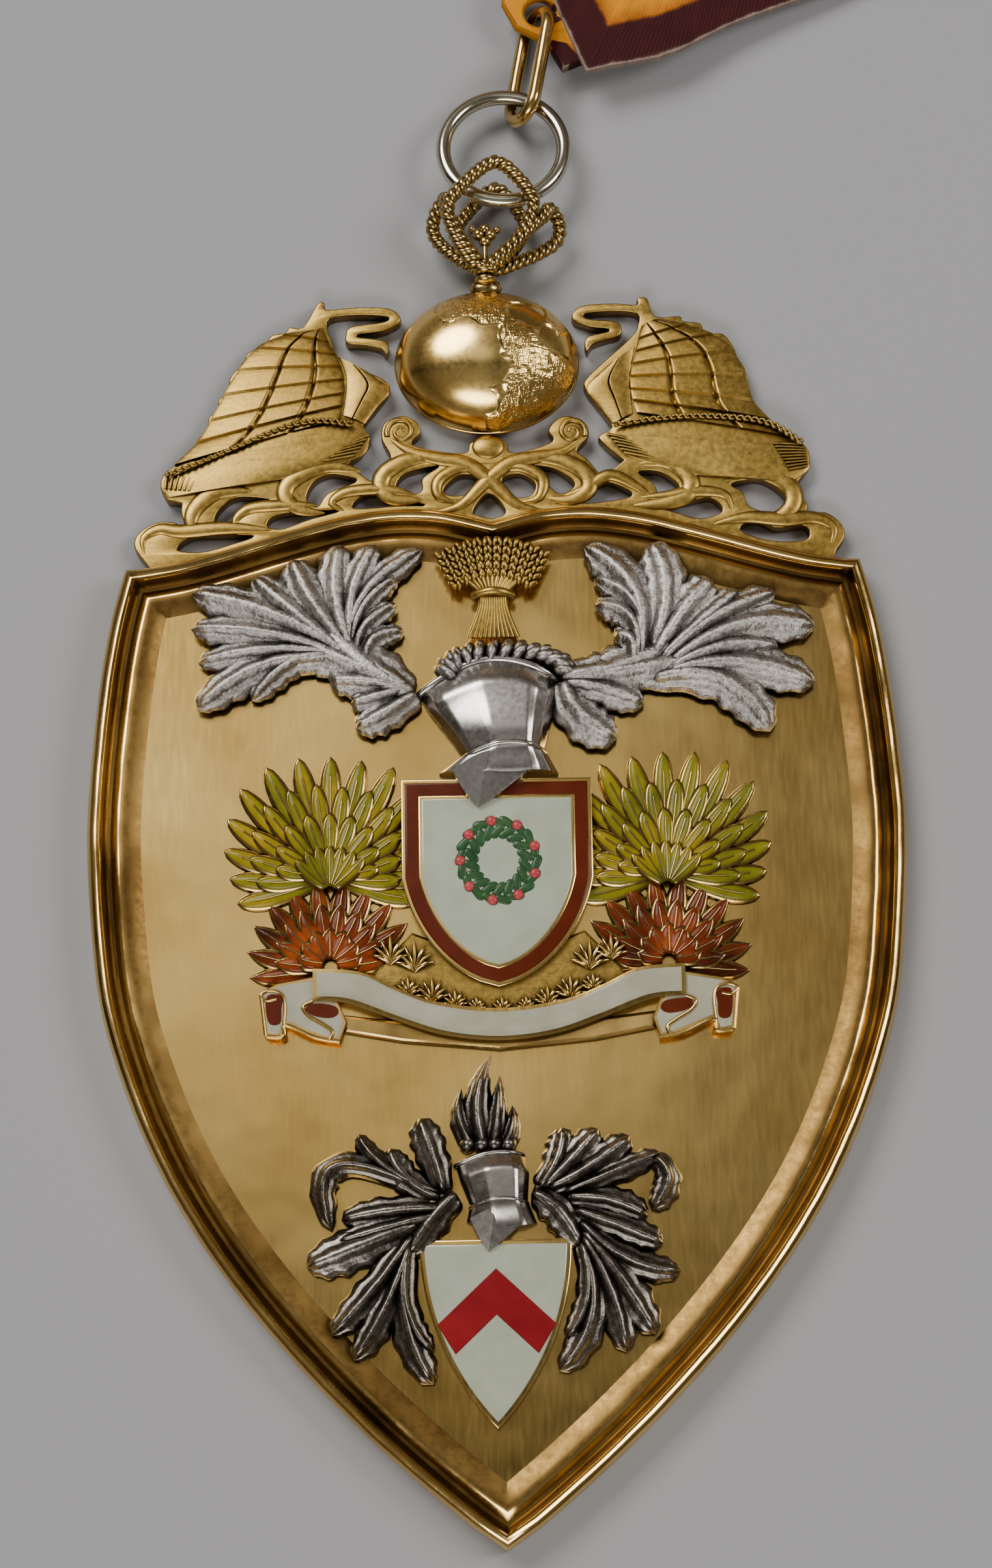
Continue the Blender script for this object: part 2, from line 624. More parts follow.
def tapered(points, width):
    """Radii that swell from one end of a stroke and fall to the other."""
    count = len(points) - 1
    shares = [i / count for i in range(count + 1)]
    return [width * max(math.sin(math.pi * s) ** 0.6, 0.15 * (1 - s) + 0.1 * s) for s in shares]


def sheet_grid(name, across, along, place):
    """A fine sheet whose points are placed by their shares across and along."""
    clear_selection()
    bpy.ops.mesh.primitive_grid_add(x_subdivisions=across, y_subdivisions=along, size=1.0)
    piece = bpy.context.object
    piece.name = name
    for vertex in piece.data.vertices:
        vertex.co = place(vertex.co.x + 0.5, vertex.co.y + 0.5)
    bpy.ops.object.shade_smooth()
    return piece


def close_to_floor(piece, floor):
    """Carry a sheet's edge down to its floor and close it below."""
    pick(piece)
    bpy.ops.object.mode_set(mode="EDIT")
    bpy.ops.mesh.select_all(action="SELECT")
    bpy.ops.mesh.region_to_loop()
    bpy.ops.mesh.extrude_region_move()
    bpy.ops.object.mode_set(mode="OBJECT")
    for vertex in piece.data.vertices:
        if vertex.select:
            vertex.co.z = floor
    bpy.ops.object.mode_set(mode="EDIT")
    bpy.ops.mesh.edge_face_add()
    bpy.ops.mesh.select_all(action="SELECT")
    bpy.ops.mesh.normals_make_consistent(inside=False)
    bpy.ops.object.mode_set(mode="OBJECT")
    return piece


LEAF_FORM = (
    # place, width
    (0.00, 0.45),
    (0.08, 0.70),
    (0.35, 0.92),
    (0.70, 1.00),
    (0.88, 0.80),
    (0.96, 0.50),
    (1.00, 0.00),
)


def leaf(root, bend, tip, width, floor, rise, fine, groove=0.35, form=LEAF_FORM, lift=0.0,
         flutes=0.0, wave=0.0, keel=0.3):
    """One fleshy leaf: a closed body along a bent line, with soft grooves along it."""
    clear_selection()
    bpy.ops.mesh.primitive_uv_sphere_add(segments=fine[0], ring_count=fine[1], radius=1.0)
    piece = bpy.context.object
    root, bend, tip = Vector(root), Vector(bend), Vector(tip)
    for vertex in piece.data.vertices:
        x, y, z = vertex.co
        place = math.acos(max(-1.0, min(1.0, z))) / math.pi
        ring = max(1e-6, math.hypot(x, y))
        side, up = x / ring, y / ring
        along = 0.5 - 0.5 * math.cos(math.pi * place) if place > 0.5 else place
        here = root * (1 - along) ** 2 + bend * 2 * along * (1 - along) + tip * along ** 2
        ahead = ((bend - root) * (1 - along) + (tip - bend) * along).normalized()
        across = Vector((-ahead.y, ahead.x))
        wide = between(form, along)[0] * (1.0 + wave * math.sin(25.0 * along * along + 2.0 * side))
        spot = here + across * side * wide * width / 2
        crest = rise * (0.55 + 0.45 * math.sin(math.pi * min(1.0, 0.25 + 0.7 * along)))
        cuts = groove * math.exp(-(side / 0.17) ** 2)
        cuts += flutes * math.exp(-((abs(side) - 0.46) / 0.11) ** 2)
        body = max(0.0, up) ** 0.55 * (1 - keel) + keel * (1 - abs(side) ** 1.3) * max(0.0, up) ** 0.2
        body *= (1.0 - cuts) * (0.35 + 0.65 * min(1.0, wide * 1.4))
        level = floor + lift * along + (crest * body if up > 0 else 0.0)
        if ring < 1e-5 or wide < 0.02:
            level = floor + lift * along + 0.2 * crest
        vertex.co = (spot.x, spot.y, level)
    bpy.ops.object.shade_smooth()
    return piece


def pebble(place, size, turn=0.0, fine=(12, 8)):
    """A small rounded lump."""
    clear_selection()
    bpy.ops.mesh.primitive_uv_sphere_add(
        segments=fine[0], ring_count=fine[1], radius=1.0, location=place,
        rotation=(0.0, 0.0, turn), scale=size)
    bpy.ops.object.transform_apply(location=True, rotation=True, scale=True)
    bpy.ops.object.shade_smooth()
    return bpy.context.object


def new_material(name):
    """A material with its shader and a place for its pattern."""
    material = bpy.data.materials.new(name)
    material.use_nodes = True
    nodes = material.node_tree.nodes
    shader = nodes["Principled BSDF"]
    place = nodes.new("ShaderNodeTexCoord")
    return material, nodes, material.node_tree.links, shader, place


def tune(node, values):
    """Set a node's plain inputs and return it."""
    for name, value in values.items():
        node.inputs[name].default_value = value
    return node


def stretched(nodes, links, coordinates, stretch):
    """Coordinates stretched along each axis."""
    mapping = tune(nodes.new("ShaderNodeMapping"), {"Scale": stretch})
    links.new(coordinates, mapping.inputs["Vector"])
    return mapping.outputs["Vector"]


def noise_node(nodes, links, coordinates, scale, detail=4.0, roughness=0.55, stretch=None):
    """A soft noise at a scale per metre, stretched where asked."""
    node = tune(nodes.new("ShaderNodeTexNoise"), {"Scale": scale, "Detail": detail, "Roughness": roughness})
    if stretch:
        coordinates = stretched(nodes, links, coordinates, stretch)
    links.new(coordinates, node.inputs["Vector"])
    return node.outputs["Fac"]


def ramp_node(nodes, links, source, stops):
    """A colour ramp over a value."""
    node = nodes.new("ShaderNodeValToRGB")
    elements = node.color_ramp.elements
    while len(elements) < len(stops):
        elements.new(0.5)
    for element, (place, colour) in zip(elements, stops):
        element.position = place
        element.color = (*colour, 1.0)
    links.new(source, node.inputs["Fac"])
    return node.outputs["Color"]


def math_node(nodes, links, operation, *terms):
    """A sum over outputs and plain numbers."""
    node = nodes.new("ShaderNodeMath")
    node.operation = operation
    for socket, term in zip(node.inputs, terms):
        if isinstance(term, float):
            socket.default_value = term
        else:
            links.new(term, socket)
    return node.outputs["Value"]


def split_node(nodes, links, source):
    """The three parts of a vector."""
    node = nodes.new("ShaderNodeSeparateXYZ")
    links.new(source, node.inputs["Vector"])
    return node.outputs


def multiply(nodes, links, first, second):
    """One colour multiplied by another."""
    mix = nodes.new("ShaderNodeMix")
    mix.data_type = "RGBA"
    mix.blend_type = "MULTIPLY"
    mix.inputs["Factor"].default_value = 1.0
    links.new(first, mix.inputs["A"])
    links.new(second, mix.inputs["B"])
    return mix.outputs["Result"]


def grey(value):
    """A neutral colour."""
    return (value, value, value)


def add_bumps(nodes, links, shader, layers):
    """Stack bumps, each from a value, a height in metres and a strength."""
    last = None
    for source, height, strength in layers:
        node = tune(nodes.new("ShaderNodeBump"), {"Distance": height, "Strength": strength})
        links.new(source, node.inputs["Height"])
        if last:
            links.new(last.outputs["Normal"], node.inputs["Normal"])
        last = node
    links.new(last.outputs["Normal"], shader.inputs["Normal"])


def metal(name, light, dark, roughness, swell, grain=0.0, grain_scale=2500.0, brush=None,
          hollows=0.0, hollow_reach=0.7, patches=None, speckle=0.0):
    """Worn metal: a tinted base, soft waves, fine grain and darker hollows."""
    material, nodes, links, shader, place = new_material(name)
    spot = place.outputs["Object"]
    shader.inputs["Metallic"].default_value = 1.0
    broad = noise_node(nodes, links, spot, 90.0, 3.0)
    colour = ramp_node(nodes, links, broad, ((0.30, dark), (0.68, light)))
    if hollows:
        shade = tune(nodes.new("ShaderNodeAmbientOcclusion"), {"Distance": hollow_reach * MM})
        shade.samples = 6
        mask = ramp_node(nodes, links, shade.outputs["AO"],
                         ((0.35, grey(1.0 - hollows)), (0.92, grey(1.0))))
        colour = multiply(nodes, links, colour, mask)
    fine = noise_node(nodes, links, spot, grain_scale, 5.0, 0.65, brush)
    spread = ramp_node(nodes, links, fine, (
        (0.25, grey(max(0.02, roughness * 0.75))), (0.75, grey(min(1.0, roughness * 1.3)))))
    links.new(spread, shader.inputs["Roughness"])
    if speckle:
        grains = ramp_node(nodes, links, fine, ((0.38, grey(1.0 - speckle)), (0.60, grey(1.0))))
        colour = multiply(nodes, links, colour, grains)
    links.new(colour, shader.inputs["Base Color"])
    layers = [(noise_node(nodes, links, spot, 110.0, 2.0, 0.45), swell * MM, 1.0)]
    if grain:
        layers.append((fine, grain * MM, 1.0))
    if patches:
        layers += patches(nodes, links, spot)
    add_bumps(nodes, links, shader, layers)
    return material


def enamel(name, colours, scale=400.0, roughness=0.12, gloss=0.6):
    """Glossy enamel with soft clouds of colour."""
    material, nodes, links, shader, place = new_material(name)
    spot = place.outputs["Object"]
    clouds = noise_node(nodes, links, spot, scale)
    links.new(ramp_node(nodes, links, clouds, colours), shader.inputs["Base Color"])
    tune(shader, {"Roughness": roughness, "Specular IOR Level": 0.5 * gloss, "Coat Weight": gloss,
                  "Coat Roughness": 0.06})
    waves = noise_node(nodes, links, spot, 260.0, 2.0)
    add_bumps(nodes, links, shader, [(waves, 0.02 * MM, 1.0)])
    return material


def chased_patches(nodes, links, spot):
    """Matte chased patches with fine feathered strokes, mostly on the right half."""
    land = noise_node(nodes, links, spot, 170.0, 2.0, 0.5)
    lean = math_node(nodes, links, "MULTIPLY_ADD", split_node(nodes, links, spot)["X"], 24.0, land)
    mask = ramp_node(nodes, links, lean, ((0.50, grey(0.0)), (0.53, grey(1.0))))
    strokes = noise_node(nodes, links, spot, 1500.0, 3.0, 0.6, (1.3, 0.28, 1.0))
    lumps = noise_node(nodes, links, spot, 1100.0, 3.0, 0.6, (0.4, 1.2, 1.0))
    blend = math_node(nodes, links, "ADD", strokes, lumps)
    return [(math_node(nodes, links, "MULTIPLY", blend, mask), 0.20 * MM, 1.0)]


def brushed_lines(nodes, links, spot):
    """Faint file marks across matte work."""
    return [(noise_node(nodes, links, spot, 1300.0, 3.0, 0.6, (0.25, 1.6, 1.0)), 0.020 * MM, 0.8)]


POLISHED_GOLD = metal("polished_gold", (0.82, 0.565, 0.185), (0.60, 0.38, 0.105), 0.19,
                      swell=0.14, grain=0.0010, grain_scale=3000.0, brush=(1.0, 0.12, 1.0))
RIM_GOLD = metal("rim_gold", (0.80, 0.55, 0.195), (0.50, 0.31, 0.085), 0.17,
                 swell=0.70, grain=0.0015, grain_scale=2600.0, hollows=0.85, hollow_reach=1.5)
GROOVE_GOLD = metal("groove_gold", (0.26, 0.145, 0.035), (0.05, 0.024, 0.008), 0.30,
                    swell=0.5, grain=0.004, grain_scale=1500.0, hollows=0.6, hollow_reach=1.0)
SLOPE_GOLD = metal("slope_gold", (0.27, 0.165, 0.048), (0.12, 0.065, 0.018), 0.40,
                   swell=0.75, grain=0.003, grain_scale=1800.0, hollows=0.75, hollow_reach=1.5)
MATTE_GOLD = metal("matte_gold", (0.48, 0.315, 0.080), (0.36, 0.225, 0.052), 0.36,
                   swell=0.06, grain=0.014, grain_scale=2200.0, hollows=0.88, hollow_reach=0.8,
                   patches=brushed_lines, speckle=0.15)
DARK_GOLD = metal("toned_gold", (0.36, 0.22, 0.06), (0.20, 0.11, 0.03), 0.36,
                  swell=0.05, grain=0.012, grain_scale=2200.0, hollows=0.85, hollow_reach=0.8)
WIRE_GOLD = metal("wire_gold", (0.52, 0.37, 0.14), (0.34, 0.22, 0.065), 0.22,
                  swell=0.05, grain=0.004, grain_scale=2200.0, hollows=0.90, hollow_reach=0.6)
GLOBE_GOLD = metal("chased_gold", (0.86, 0.60, 0.20), (0.74, 0.48, 0.14), 0.20,
                   swell=0.14, patches=chased_patches)
RING_SILVER = metal("ring_silver", (0.60, 0.57, 0.46), (0.46, 0.42, 0.31), 0.15, swell=0.05, grain=0.002)
POLISHED_SILVER = metal("polished_silver", (0.56, 0.53, 0.50), (0.46, 0.43, 0.40), 0.24,
                        swell=0.05, grain=0.002, hollows=0.55, hollow_reach=0.8)
FROSTED_SILVER = metal("frosted_silver", (0.54, 0.505, 0.465), (0.40, 0.37, 0.34), 0.28,
                       swell=0.08, grain=0.10, grain_scale=2400.0, hollows=0.95, hollow_reach=1.4,
                       speckle=0.45)
DARK_SILVER = metal("dark_silver", (0.28, 0.25, 0.215), (0.17, 0.15, 0.125), 0.28,
                    swell=0.12, grain=0.05, grain_scale=1900.0, hollows=0.92, hollow_reach=1.3,
                    speckle=0.35)
WORN_SILVER = metal("worn_silver", (0.44, 0.41, 0.37), (0.32, 0.30, 0.27), 0.26,
                    swell=0.06, grain=0.006, grain_scale=1900.0, hollows=0.6, hollow_reach=0.9)
WHITE_ENAMEL = enamel("white_enamel", ((0.3, (0.29, 0.32, 0.235)), (0.7, (0.35, 0.38, 0.29))))
SCROLL_ENAMEL = enamel("scroll_enamel", ((0.3, (0.27, 0.26, 0.18)), (0.7, (0.35, 0.34, 0.26))),
                       roughness=0.3)
BROWN_ENAMEL = enamel("brown_enamel", ((0.3, (0.066, 0.010, 0.003)), (0.7, (0.092, 0.015, 0.005))),
                      roughness=0.35, gloss=0.12)
RED_ENAMEL = enamel("red_enamel", ((0.3, (0.15, 0.005, 0.008)), (0.7, (0.21, 0.009, 0.012))), gloss=0.3)
GREEN_ENAMEL = enamel("green_enamel", ((0.3, (0.012, 0.045, 0.016)), (0.7, (0.035, 0.09, 0.030))),
                      roughness=0.35, gloss=0.25)
BERRY_ENAMEL = enamel("berry_enamel", ((0.3, (0.30, 0.02, 0.03)), (0.7, (0.42, 0.07, 0.07))),
                      roughness=0.35, gloss=0.25)
LEAF_ENAMEL = enamel("leaf_enamel", ((0.30, (0.070, 0.075, 0.005)), (0.50, (0.16, 0.145, 0.008)),
                                     (0.72, (0.34, 0.22, 0.010))), scale=230.0, roughness=0.35, gloss=0.2)
PETAL_ENAMEL = enamel("petal_enamel", ((0.28, (0.030, 0.007, 0.002)), (0.5, (0.12, 0.020, 0.004)),
                                       (0.72, (0.30, 0.060, 0.007))), scale=280.0, roughness=0.35,
                      gloss=0.15)


def gallery_point(u, v):
    """A place on the gallery from its shares."""
    return (GALLERY_SHIFT + u * GALLERY_SPAN / 2, SHIELD_HEIGHT / 2 + v * GALLERY_HEIGHT)


def gallery_line(shares, steps, closed=False):
    """A smooth line on the gallery through places given in shares."""
    return smooth_line([gallery_point(u, v) for u, v in shares], steps, closed)


def arch_line(steps):
    """Top edge of the shield from its right corner to its left corner."""
    half = SHIELD_WIDTH / 2
    right = [(u * half, SHIELD_HEIGHT / 2 + v * ARCH_RISE) for u, v in SHIELD_ARCH]
    right = smooth_line(right, steps)
    return right + [(-x, y) for x, y in reversed(right[:-1])]


def shield_outline(steps):
    """Outline of the shield plate."""
    half = SHIELD_WIDTH / 2
    side = [(w * half, SHIELD_HEIGHT * (h - 0.5)) for h, w in SHIELD_SIDE]
    side = [side[0]] + smooth_line(side[1:], steps)
    for _ in range(12):
        side = side[:2] + [
            ((a[0] + 2 * b[0] + c[0]) / 4, (a[1] + 2 * b[1] + c[1]) / 4)
            for a, b, c in zip(side[1:], side[2:], side[3:])
        ] + side[-1:]
    return side + arch_line(steps) + [(-x, y) for x, y in reversed(side[1:])]


def edge_reach(spot, outline):
    """How far a point lies from the nearest edge of an outline."""
    best = math.inf
    for a, b in zip(outline, outline[1:] + outline[:1]):
        way = spot - Vector(a)
        side = Vector(b) - Vector(a)
        share = way.dot(side) / side.length_squared
        best = min(best, (way - side * max(0.0, min(1.0, share))).length)
    return best


RIM_STEPS = (
    # width inwards and height of each step of the moulding, in millimetres
    (0.0, 2.25), (0.06, 0.30), (0.10, 0.24), (0.16, 0.19), (0.22, 0.10), (0.20, -0.05),
    (0.16, -0.14), (0.12, -0.28), (0.10, -0.36), (0.12, -0.30), (0.20, -0.18), (0.26, -0.02),
    (0.24, 0.12), (0.22, 0.14), (0.24, 0.08), (0.40, -0.06), (0.50, -0.12), (0.70, -0.31),
)


def make_shield():
    """The dished plate with its moulded rim."""
    outline = shield_outline(6)
    plate = raised("shield_plate_face", outline, 0.0, [(w * MM, h * MM) for w, h in RIM_STEPS])
    smooth(plate, 30.0)
    paint(plate, RIM_GOLD, POLISHED_GOLD, GROOVE_GOLD, SLOPE_GOLD)
    for face in plate.data.polygons:
        reach = edge_reach(face.center.to_2d(), outline)
        if face.center.z > MM and reach > GROOVE_START:
            face.material_index = 2 if reach < GROOVE_END else 3 if reach > SLOPE_START else 0
    field = max(plate.data.polygons, key=lambda face: face.area if face.center.z > MM else 0.0)
    field.material_index = 1
    border = set(field.edge_keys)
    for edge in plate.data.edges:
        if edge.key in border:
            edge.use_edge_sharp = True
    return settle(plate, ["shield_plate"])


def lapped_sail(name, left, right, rows, level, puff, grooves):
    """A sail of lapped cloths between its two edges, bottom first."""
    left = even_line(left, 120)
    right = even_line(right, 120)

    def place(u, v):
        x, y = across_lines(left, right, u, v)
        row = (v * rows) % 1.0 if v < 1.0 else 1.0
        lap = 0.26 * MM * (1.0 - row) ** 0.8 if rows else 0.0
        bulge = puff * math.sin(math.pi * u) ** 0.6
        cut = sum(math.exp(-((u - g - 0.05 * math.sin(3 * v)) / 0.014) ** 2) for g in grooves)
        return (x, y, level + lap + bulge - 0.24 * MM * min(1.0, cut))
    piece = sheet_grid(name, 90, max(24, rows * 10), place)
    close_to_floor(piece, level - 0.3 * MM)
    smooth(piece, 50.0)
    return piece


def make_gallery():
    """Pierced scrollwork with its ships, volutes and pennants."""
    edge = arch_line(3)

    def foot(x, clearance):
        for (x1, y1), (x2, y2) in zip(edge, edge[1:]):
            if x2 <= x <= x1:
                return y1 + (y2 - y1) * (x - x1) / (x2 - x1) + clearance
        return edge[0][1]
    over = []
    for shares, steps in ((GALLERY_LEFT_SCROLL, 5), (GALLERY_LEFT_SHIP, 3), (GALLERY_MIDDLE, 5),
                          (GALLERY_RIGHT_SHIP, 3), (GALLERY_RIGHT_SCROLL, 5)):
        over += gallery_line(shares, steps)
    under = [(x, foot(x, 0.05 * MM)) for x, y in edge if over[0][0] < x < over[-1][0]]
    outlines = [over + under]
    for shares in GALLERY_HOLES:
        loop = gallery_line(shares, 6, closed=True)
        outlines.append([(x, max(y, foot(x, 0.75 * MM))) for x, y in loop])
    sheet = cut_sheet("gallery_sheet", outlines, 0.0, GALLERY_THICKNESS, 0.14 * MM)
    smooth(sheet, 35.0)
    paint(sheet, MATTE_GOLD, DARK_GOLD)
    for face in sheet.data.polygons:
        if abs(face.normal.z) < 0.3:
            face.material_index = 1
    parts = []
    top = GALLERY_THICKNESS - 0.05 * MM
    for width, shares in GALLERY_SCROLLS:
        points = [(x, y, top) for x, y in even_line(gallery_line(shares, 6), 34)]
        width = 1.25 * width * MM
        parts.append(stroke("scroll_strip", points, tapered(points, width), sides=4, flat=0.30 * MM / width))
    for centre, turn, side in VOLUTES:
        cx, cy = gallery_point(*centre)
        points = []
        shares = [k / 39 for k in range(40)]
        for s in shares:
            angle = math.radians(turn + side * s * 560)
            radius = (1.15 - 0.95 * s) * MM
            points.append((cx + radius * math.cos(angle), cy + radius * math.sin(angle), top))
        radii = [0.26 * MM * (1 - 0.5 * s) for s in shares]
        parts.append(stroke("volute", points, radii, sides=2))
    for name, left, right, rows, puff, grooves in SAILS:
        parts.append(lapped_sail(name, gallery_line(left, 4), gallery_line(right, 4), rows,
                                 top + 0.05 * MM, puff * MM, grooves))
    for shares in GUNWALES:
        line = even_line(gallery_line(shares, 6), 120)
        for strand in (0, 1):
            points = []
            for k, (x, y) in enumerate(line):
                angle = 2 * math.pi * k / 9 + math.pi * strand
                points.append((x + 0.10 * MM * math.cos(angle), y + 0.16 * MM * math.cos(angle),
                               top + 0.62 * MM + 0.12 * MM * math.sin(angle)))
            parts.append(stroke("gunwale", points, 0.12 * MM, sides=1))
    parts.append(pebble((*gallery_point(0.0, 0.452), top), (1.30 * MM, 1.02 * MM, 0.32 * MM), 0.0, (28, 12)))
    for starts, ends, count in RIB_ROWS:
        for k in range(count):
            s = k / (count - 1)
            tips = [gallery_point(*blend(*line, s)) for line in (starts, ends)]
            points = [(*tips[0], top + 0.36 * MM), (*tips[1], top + 0.22 * MM)]
            parts.append(stroke("rib", points, 0.11 * MM, sides=1))
    for part in parts:
        paint(part, MATTE_GOLD)
    gallery = join("gallery_work", [sheet, *parts])
    return settle(gallery, ["pierced_gallery"])


GALLERY_SCROLLS = (
    # width in millimetres, then the line in shares of the gallery
    (0.50, ((-0.96, 0.07), (-0.965, 0.13), (-0.92, 0.165), (-0.86, 0.155), (-0.74, 0.165), (-0.60, 0.155))),
    (0.62, ((-0.66, 0.30), (-0.76, 0.30), (-0.82, 0.24), (-0.83, 0.18), (-0.79, 0.15))),
    (0.42, ((-0.48, 0.245), (-0.58, 0.245), (-0.67, 0.235), (-0.71, 0.19), (-0.69, 0.15))),
    (0.62, ((-0.36, 0.37), (-0.46, 0.39), (-0.55, 0.34), (-0.57, 0.28), (-0.53, 0.23), (-0.46, 0.215))),
    (0.42, ((-0.20, 0.275), (-0.30, 0.30), (-0.40, 0.29), (-0.44, 0.25), (-0.40, 0.22))),
    (0.60, ((-0.12, 0.415), (-0.22, 0.41), (-0.29, 0.36), (-0.30, 0.30), (-0.26, 0.26), (-0.18, 0.26))),
    (0.50, ((0.16, 0.21), (0.08, 0.235), (0.01, 0.32), (-0.06, 0.39), (-0.14, 0.41), (-0.22, 0.44),
            (-0.285, 0.50))),
    (0.50, ((-0.16, 0.21), (-0.08, 0.235), (-0.01, 0.32), (0.06, 0.39), (0.13, 0.41), (0.21, 0.43),
            (0.275, 0.49))),
    (0.42, ((-0.02, 0.36), (-0.08, 0.375), (-0.14, 0.33), (-0.14, 0.27), (-0.09, 0.245))),
    (0.42, ((0.02, 0.36), (0.09, 0.375), (0.15, 0.33), (0.14, 0.26), (0.09, 0.245))),
    (0.60, ((0.10, 0.41), (0.20, 0.40), (0.27, 0.35), (0.28, 0.29), (0.23, 0.25), (0.16, 0.26))),
    (0.42, ((0.46, 0.24), (0.42, 0.29), (0.34, 0.34), (0.27, 0.29), (0.20, 0.26))),
    (0.62, ((0.42, 0.38), (0.50, 0.385), (0.56, 0.33), (0.56, 0.27), (0.50, 0.235), (0.40, 0.225))),
    (0.42, ((0.68, 0.19), (0.66, 0.26), (0.58, 0.275), (0.50, 0.26), (0.42, 0.255))),
    (0.62, ((0.66, 0.31), (0.76, 0.34), (0.84, 0.29), (0.85, 0.22), (0.80, 0.17), (0.72, 0.18))),
    (0.50, ((0.95, 0.07), (0.96, 0.13), (0.91, 0.17), (0.82, 0.165), (0.72, 0.175), (0.62, 0.15))),
)
VOLUTES = (
    # centre in shares, first angle, side
    ((-0.245, 0.515), 200.0, -1.0),
    ((0.235, 0.505), -20.0, 1.0),
)
SAILS = (
    # name, left edge, right edge, lapped rows, puff in millimetres, grooves
    ("left_main_sail",
     ((-0.88, 0.40), (-0.81, 0.50), (-0.76, 0.62), (-0.72, 0.72), (-0.66, 0.83), (-0.57, 0.89),
      (-0.49, 0.90)),
     ((-0.42, 0.56), (-0.41, 0.62), (-0.405, 0.69), (-0.41, 0.75), (-0.43, 0.81), (-0.45, 0.86),
      (-0.465, 0.91)),
     7, 0.28, (0.36, 0.70)),
    ("left_fore_sail", ((-0.41, 0.58), (-0.40, 0.66), (-0.40, 0.73), (-0.42, 0.80)),
     ((-0.345, 0.545), (-0.31, 0.61), (-0.275, 0.67), (-0.33, 0.735)), 0, 0.22, (0.45,)),
    ("left_hull", ((-0.90, 0.28), (-0.915, 0.33), (-0.87, 0.405)),
     ((-0.55, 0.345), (-0.36, 0.42), (-0.335, 0.50)), 0, 0.40, ()),
    ("left_hull_side", ((-0.87, 0.40), (-0.80, 0.435), (-0.70, 0.475)),
     ((-0.345, 0.47), (-0.345, 0.52), (-0.36, 0.56)), 0, 0.30, ()),
    ("right_main_sail", ((0.42, 0.57), (0.405, 0.66), (0.41, 0.74), (0.425, 0.82), (0.44, 0.90)),
     ((0.85, 0.47), (0.77, 0.56), (0.74, 0.64), (0.72, 0.74), (0.68, 0.83), (0.60, 0.89), (0.49, 0.93)),
     7, 0.28, (0.30, 0.66)),
    ("right_fore_sail", ((0.35, 0.53), (0.315, 0.60), (0.28, 0.67), (0.34, 0.75)),
     ((0.41, 0.57), (0.405, 0.66), (0.405, 0.72), (0.42, 0.82)), 0, 0.22, (0.45,)),
    ("right_hull", ((0.56, 0.335), (0.39, 0.41), (0.33, 0.49)),
     ((0.85, 0.30), (0.90, 0.36), (0.87, 0.43)), 0, 0.40, ()),
    ("right_hull_side", ((0.34, 0.47), (0.35, 0.51), (0.38, 0.55)),
     ((0.89, 0.41), (0.86, 0.455), (0.72, 0.545)), 0, 0.30, ()),
)
GUNWALES = (
    # lines of rope along the hulls, in shares of the gallery
    ((-0.90, 0.36), (-0.82, 0.395), (-0.70, 0.46), (-0.58, 0.525), (-0.48, 0.55), (-0.38, 0.535)),
    ((0.36, 0.52), (0.48, 0.54), (0.62, 0.545), (0.78, 0.52), (0.88, 0.44)),
)
RIB_ROWS = (
    # the line along the ribs' first ends, the line along their other ends, then their number
    (((-0.385, 0.47), (-0.46, 0.405)), ((-0.335, 0.50), (-0.375, 0.425)), 6),
    (((0.335, 0.49), (0.38, 0.42)), ((0.39, 0.475), (0.46, 0.40)), 6),
    (((0.80, 0.445), (0.84, 0.345)), ((0.885, 0.44), (0.895, 0.36)), 9),
    (((-0.905, 0.31), (-0.84, 0.30)), ((-0.90, 0.37), (-0.82, 0.345)), 6),
)


def make_globe():
    """Oval domed globe with chased patches, on its thin plate."""
    cx, cy, rx, ry = middle_and_half("globe")
    clear_selection()
    bpy.ops.mesh.primitive_uv_sphere_add(segments=96, ring_count=48, radius=1.0)
    globe = bpy.context.object
    for vertex in globe.data.vertices:
        x, y, z = vertex.co
        level = GLOBE_PLATE + z * GLOBE_RISE if z >= 0 else GLOBE_PLATE * (1.0 - 0.9 * min(1.0, -z * 3))
        vertex.co = (cx + x * rx, cy + y * ry, level)
    bpy.ops.object.shade_smooth()
    paint(globe, GLOBE_GOLD)
    rim = [(x, y, GLOBE_PLATE) for x, y in circle((cx, cy), 0.985 * rx, 0.985 * ry, 96)]
    ring = stroke("globe_band", rim, 0.20 * MM, sides=3, closed=True)
    paint(ring, POLISHED_GOLD)
    globe = join("globe_dome", [globe, ring])
    return settle(globe, ["globe"])


def leaf_cluster(name, root, leaves, floor, material, widen, stems=()):
    """Overlapping silver leaves from one root."""
    parts = []
    for i, (*shares, width) in enumerate([*leaves, *stems]):
        points = placed(root, shares, LEAF_REACH)
        lift = (0.08 + 0.24 * ((i * 7) % 5) / 4) * MM
        parts.append(leaf(*points, widen * width * LEAF_REACH, floor, LEAF_RISE, LEAF_FINE, groove=0.0,
                          lift=lift, flutes=0.30, wave=0.09, keel=0.78))
    cluster = join(name + "_leaves", parts)
    paint(cluster, material)
    return settle(cluster, [name + "_mantling"])


